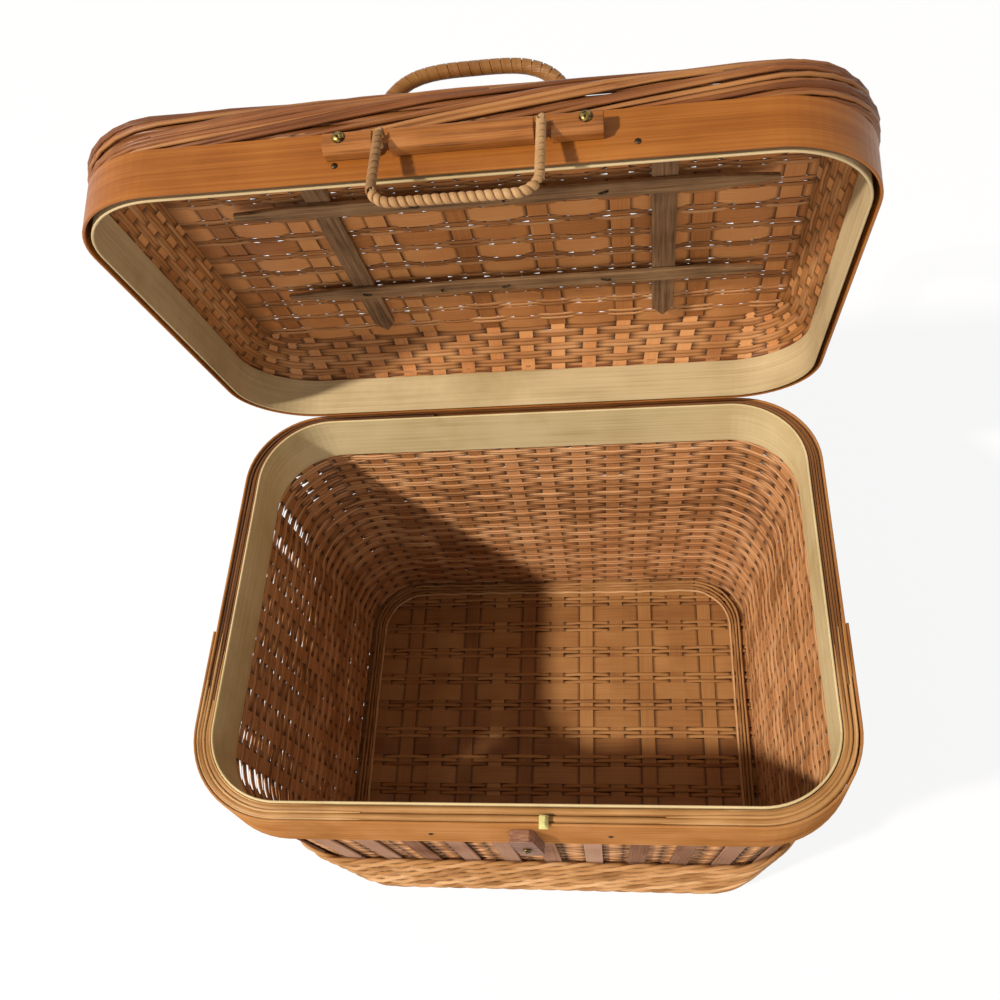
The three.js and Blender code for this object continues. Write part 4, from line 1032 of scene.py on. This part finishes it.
# %% Battens
# Sawn softwood left bare: grey-brown, dry and matt, its lines along each batten.
batten_wood = wood_material("weathered_pine_batten", "#4A3524", "#7A5A3C", "#9A7A55", 0.75, "X", OPEN_DEGREES)
cross_wood = wood_material("weathered_cross_batten", "#46321F", "#735438", "#927050", 0.75, "Y", OPEN_DEGREES)
for node, wood in (("lid_batten_front", batten_wood), ("lid_batten_rear", batten_wood),
                   ("lid_cross_batten_left", cross_wood), ("lid_cross_batten_right", cross_wood)):
    softened(node, node + "_wood", 0.6, wood, "lid")
# Moulded wood under varnish: orange-brown, smooth and satin.
closure_wood = wood_material("varnished_closure_wood", "#693C16", "#915826", "#A87040", 0.4, "X", OPEN_DEGREES)
softened("closure_batten", "closure_batten_wood", 0.7, closure_wood, "lid")
# Dark wood, worn smooth: brown, with paler patches.
button_wood = wood_material("worn_button_wood", "#4B3022", "#7A5340", "#A67A5C", 0.55, "X")
softened("turn_button", "turn_button_wood", 0.9, button_wood, "turn_button")
# Freshly split wood: yellowish white and nearly even.
wedge_wood = wood_material("split_pale_wedge", "#9C9250", "#C6BC78", "#DAD296", 0.6, "Z")
softened("rim_wedge", "rim_wedge_wood", 0.8, wedge_wood, "basket")
# Bent cane of the hinges: golden brown, with some gloss.
hinge_cane = wood_material("hinge_cane", "#6E451F", "#9A6A38", "#BC8C55", 0.5, "Z")
for side in ("left", "right"):
    softened(f"hinge_strap_{side}", f"hinge_strap_{side}_cane", 0.4, hinge_cane, "basket")
    softened(f"hinge_pin_{side}", f"hinge_pin_{side}_cane", 0.3, hinge_cane, "lid")
    for end in ("outer", "inner"):
        softened(f"lid_eye_{side}_{end}", f"lid_eye_{side}_{end}_cane", 0.3, hinge_cane, "lid")

# %% [markdown]
# ## The carrying handle and the closure loop
# Both are bent cores with cane wound round them. The winding is a strand too: its path is a
# helix round the core's path, and it faces straight out from the core.

# %% Winding helpers
def resample(points, spacing):
    """Points at about this spacing along a path, and how far along it each lies."""
    steps = np.concatenate([[0], np.cumsum(np.linalg.norm(np.diff(points, axis=0), axis=1))])
    count = max(2, int(round(steps[-1] / spacing)) + 1)
    places = np.linspace(0, steps[-1], count)
    return np.stack([np.interp(places, steps, points[:, k]) for k in range(3)], -1), places


def wind(points, side, radius, pitch, per_turn, first, last):
    """A helix round a path between two lengths along it; side is the direction across the path's plane."""
    fine, places = resample(points, 0.4)
    turns = (last - first) / pitch
    t = np.linspace(0, 1, max(8, int(turns * per_turn)))
    where = first + (last - first) * t
    centre = np.stack([np.interp(where, places, fine[:, k]) for k in range(3)], -1)
    along = np.gradient(fine, axis=0)
    along = np.stack([np.interp(where, places, along[:, k]) for k in range(3)], -1)
    along /= np.linalg.norm(along, axis=1, keepdims=True)
    sideways = side - along * (along @ side)[:, None]
    sideways /= np.linalg.norm(sideways, axis=1, keepdims=True)
    out = np.cross(along, sideways)
    angle = 2 * np.pi * (turns * t)
    radial = sideways * np.cos(angle)[:, None] + out * np.sin(angle)[:, None]
    return centre + radial * radius, radial


# %% Handle
HANDLE_PLACE, HANDLE_SPAN, HANDLE_RISE, HANDLE_Y, HANDLE_POWER = -4.0, 65.0, 85.0, -62.0, 3.5
HANDLE_FOOT, HANDLE_POINTS = 62.3, 160
angle = np.linspace(np.pi, 0, HANDLE_POINTS)
arch = np.stack([
    HANDLE_PLACE + HANDLE_SPAN * np.sign(np.cos(angle)) * np.abs(np.cos(angle)) ** (2 / HANDLE_POWER),
    np.full(HANDLE_POINTS, HANDLE_Y),
    HANDLE_FOOT + HANDLE_RISE * np.abs(np.sin(angle)) ** (2 / HANDLE_POWER)], -1)
arch, _ = resample(arch, 3.0)
arch = lid_place(arch)
across_handle = lid_place(np.array([0, 1.0, 0]), True)
core = strands("handle_core_cane", [arch], [np.broadcast_to(across_handle, arch.shape)], 7.8, 7.8, dark_filler,
               "lid", "handle_cane", sides=16)
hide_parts("handle_core")
arch_length = resample(arch, 1.0)[1][-1]
HANDLE_TURNS, HANDLE_GAP, BARE_END = 37, 0.5, 1.5
turn_pitch = (arch_length - 2 * BARE_END) / HANDLE_TURNS
winding, radial = wind(arch, across_handle, 4.3, turn_pitch, 24, BARE_END, arch_length - BARE_END)
wrap = strands("handle_winding", [winding], [radial], turn_pitch - HANDLE_GAP, 1.1, handle_cane, "lid",
               "handle_cane", flat=True, rounding=0.3, tints=[0.5])
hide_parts("handle_wrap")

# %% Closure loop
LOOP_HALF, LOOP_ARM, LOOP_CORNER, EYE_RADIUS, LOOP_LEAN = 42.0, 52.0, 12.0, 4.4, math.radians(14)
LOOP_PLACE = np.array([8.5, -(mouth[1] + 14.9), 18.6])
EYE_TURN = np.radians(280)


def loop_points():
    """The loop's line: an eye, an arm, half of the bar, and the same mirrored."""
    eye_angles = np.pi - EYE_TURN * (1 - np.arange(16) / 16)
    arm = [(-LOOP_HALF, EYE_RADIUS * math.cos(a), EYE_RADIUS * math.sin(a)) for a in eye_angles]
    straight = LOOP_ARM - LOOP_CORNER
    arm += [(-LOOP_HALF, -EYE_RADIUS, -straight * k / 8) for k in range(9)]
    for k in range(1, 9):
        bend = math.pi / 2 * k / 8
        arm.append((-LOOP_HALF + LOOP_CORNER * (1 - math.cos(bend)), -EYE_RADIUS,
                    -straight - LOOP_CORNER * math.sin(bend)))
    return np.array(arm + [(-x, y, z) for x, y, z in reversed(arm)])


def loop_place(points, direction=False):
    """From the loop's own place at its eyes to its place on the open lid; or a direction."""
    lean = -LOOP_LEAN
    y = points[..., 1] * math.cos(lean) - points[..., 2] * math.sin(lean)
    z = points[..., 1] * math.sin(lean) + points[..., 2] * math.cos(lean)
    turned = np.stack([points[..., 0], y, z], -1)
    return lid_place(turned + (0 if direction else LOOP_PLACE), direction)


loop_line, _ = resample(loop_points(), 2.0)
loop_line = loop_place(loop_line)
loop_side = loop_place(np.array([0, 1.0, 0.02]), True)
loop_side = loop_side / np.linalg.norm(loop_side)
loop_facing = np.broadcast_to(loop_place(np.array([0.0, 0, 1]), True), loop_line.shape)
loop_core = strands("closure_loop_core", [loop_line], [loop_facing], 3.4, 3.4, loop_cane, "closure_loop",
                    "loop_cane", sides=10)
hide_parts("closure_loop")
loop_length = resample(loop_line, 0.5)[1][-1]
eye_length = EYE_TURN * EYE_RADIUS
bar_start = eye_length + LOOP_ARM - LOOP_CORNER + 4
arms, arm_faces = [], []
for first, last in ((eye_length + 1, bar_start), (loop_length - bar_start, loop_length - eye_length - 1)):
    path, radial = wind(loop_line, loop_side, 2.1, 4.6, 20, first, last)
    arms.append(path)
    arm_faces.append(radial)
strands("closure_loop_arm_winding", arms, arm_faces, 4.0, 1.0, loop_cane, "closure_loop", "loop_cane", flat=True,
        rounding=0.4)
beads, bead_faces = wind(loop_line, loop_side, 1.9, 4.3, 20, bar_start, loop_length - bar_start)
bar = strands("closure_loop_bar_winding", [beads], [bead_faces], 3.9, 1.7, loop_cane, "closure_loop", "loop_cane",
              sides=8, tints=[0.6])
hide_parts("closure_loop_wrap")

# %% [markdown]
# ## Screws and nails
# Small metal: round-head screws with a slot, and nails whose ends are bent over into the wood.

# %% Metal finishes
# Old brass and iron: spots of tarnish under 2 mm across dull most of the shine.
TARNISH, TARNISH_SPOTS_PER_METRE = "#2E2516", 600.0


def metal(name, colour, roughness):
    """Spotted metal, from tarnish to a colour."""
    material = bpy.data.materials.new(name)
    tree = empty_tree(material)
    spot = add(tree, "ShaderNodeTexCoord").outputs["Object"]
    spots = add(tree, "ShaderNodeTexNoise", {"Vector": spot, "Scale": TARNISH_SPOTS_PER_METRE, "Detail": 3.0})
    ramp = add(tree, "ShaderNodeValToRGB", {"Fac": spots.outputs["Fac"]})
    ramp.color_ramp.elements[0].position, ramp.color_ramp.elements[0].color = 0.4, srgb(TARNISH)
    ramp.color_ramp.elements[1].position, ramp.color_ramp.elements[1].color = 0.6, srgb(colour)
    shader = add(tree, "ShaderNodeBsdfPrincipled", {"Base Color": ramp.outputs["Color"], "Metallic": 1.0,
                                                    "Roughness": roughness})
    add(tree, "ShaderNodeOutputMaterial", {"Surface": shader.outputs[0]})
    return material


old_brass = metal("tarnished_brass_screw", "#8C7440", 0.35)
dark_iron = metal("dark_iron_nail", "#4A3F33", 0.5)

# %% Domed heads
HEAD_RINGS, HEAD_SIDES = 8, 24
# A node deeper than 1.2 of its radius has a shank too, and only its outer 0.62 of a radius is domed.
SHANK_FROM, DOME_DEPTH = 1.2, 0.62
SLOT_DEPTH, SLOT_TURN = 0.9 * MM, 0.6


def round_head(name, node, material, slot_width=0.0):
    """A domed head in the box of its CAD node, on a face that the head stands out from."""
    low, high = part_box(node)
    body = frame["nodes"][node]["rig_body"]
    outward = Vector((0, -1, 0)) if body == "basket" else Vector(lid_place(np.array([0, -1.0, 0]), True))
    centre = (low + high) / 2
    radius = (high.x - low.x) / 2
    shape = bmesh.new()
    track = outward.to_track_quat("Z", "X")
    turn = track.to_matrix()
    depth = [(corner.co - centre).dot(outward) for corner in frame["nodes"][node].data.vertices]
    base, top = min(depth), max(depth)
    seat = top - DOME_DEPTH * radius if top - base > SHANK_FROM * radius else base

    def ring(bend):
        """The dome's outline where it has bent inwards by this angle."""
        reach, height = radius * math.cos(bend), seat + (top - seat) * math.sin(bend)
        return [shape.verts.new(centre + turn @ Vector((reach * math.cos(a), reach * math.sin(a), 0))
                                + outward * height)
                for a in np.linspace(0, 2 * np.pi, HEAD_SIDES, endpoint=False)]

    lower = ring(0)
    shape.faces.new(list(reversed(lower)))
    for k in range(1, HEAD_RINGS):
        upper = ring(math.pi / 2 * k / HEAD_RINGS)
        for i in range(HEAD_SIDES):
            after = (i + 1) % HEAD_SIDES
            shape.faces.new((lower[i], lower[after], upper[after], upper[i]))
        lower = upper
    shape.faces.new(lower)
    mesh = bpy.data.meshes.new(name)
    shape.to_mesh(mesh)
    shape.free()
    mesh.shade_smooth()
    holder = linked(name + "_plain", mesh)
    mesh.materials.append(material)
    cutter = None
    if slot_width:
        bpy.ops.mesh.primitive_cube_add(size=1)
        cutter = bpy.context.object
        cutter.scale = (radius * 3, slot_width * MM, SLOT_DEPTH)
        cutter.rotation_mode = "QUATERNION"
        cutter.rotation_quaternion = track @ Matrix.Rotation(SLOT_TURN, 4, "Z").to_quaternion()
        cutter.location = centre + outward * top
        cut = holder.modifiers.new("slot", "BOOLEAN")
        cut.object = cutter
    piece = keep_mesh(holder, name)
    if cutter:
        bpy.data.objects.remove(cutter)
    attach(piece, body)
    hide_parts(node)


for node in ("closure_screw_left", "closure_screw_right", "button_screw"):
    round_head(node + "_head", node, old_brass, 0.9)
for node in ("base_nail_1", "base_nail_2", "lid_nail_1", "lid_nail_2"):
    round_head(node + "_head", node, dark_iron)

# %% Clenched nails in the battens
for row, count in (("front", 3), ("rear", 4)):
    for n in range(count):
        node = f"batten_nail_{row}_{n + 1}"
        low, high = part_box(node)
        centre = np.array((low + high) / 2) / MM
        inward = lid_place(np.array([0, 0, -1.0]), True)
        lie = lid_place(np.array([math.cos(0.5 + n), 0.6 * math.sin(0.5 + n), 0]), True)
        line = [centre - lie * 2.5 - inward * 0.6, centre - lie * 2.0 + inward * 0.3, centre + inward * 0.5,
                centre + lie * 3.5 + inward * 0.3, centre + lie * 5.5 - inward * 0.2]
        nail = strands(f"{node}_clenched", [np.array(line)], [np.broadcast_to(inward, (5, 3))], 1.7, 1.1,
                       dark_iron, "lid", "iron_fastener", sides=8, tapers=[np.array([0.6, 1, 1, 0.9, 0.4])])
        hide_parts(node)
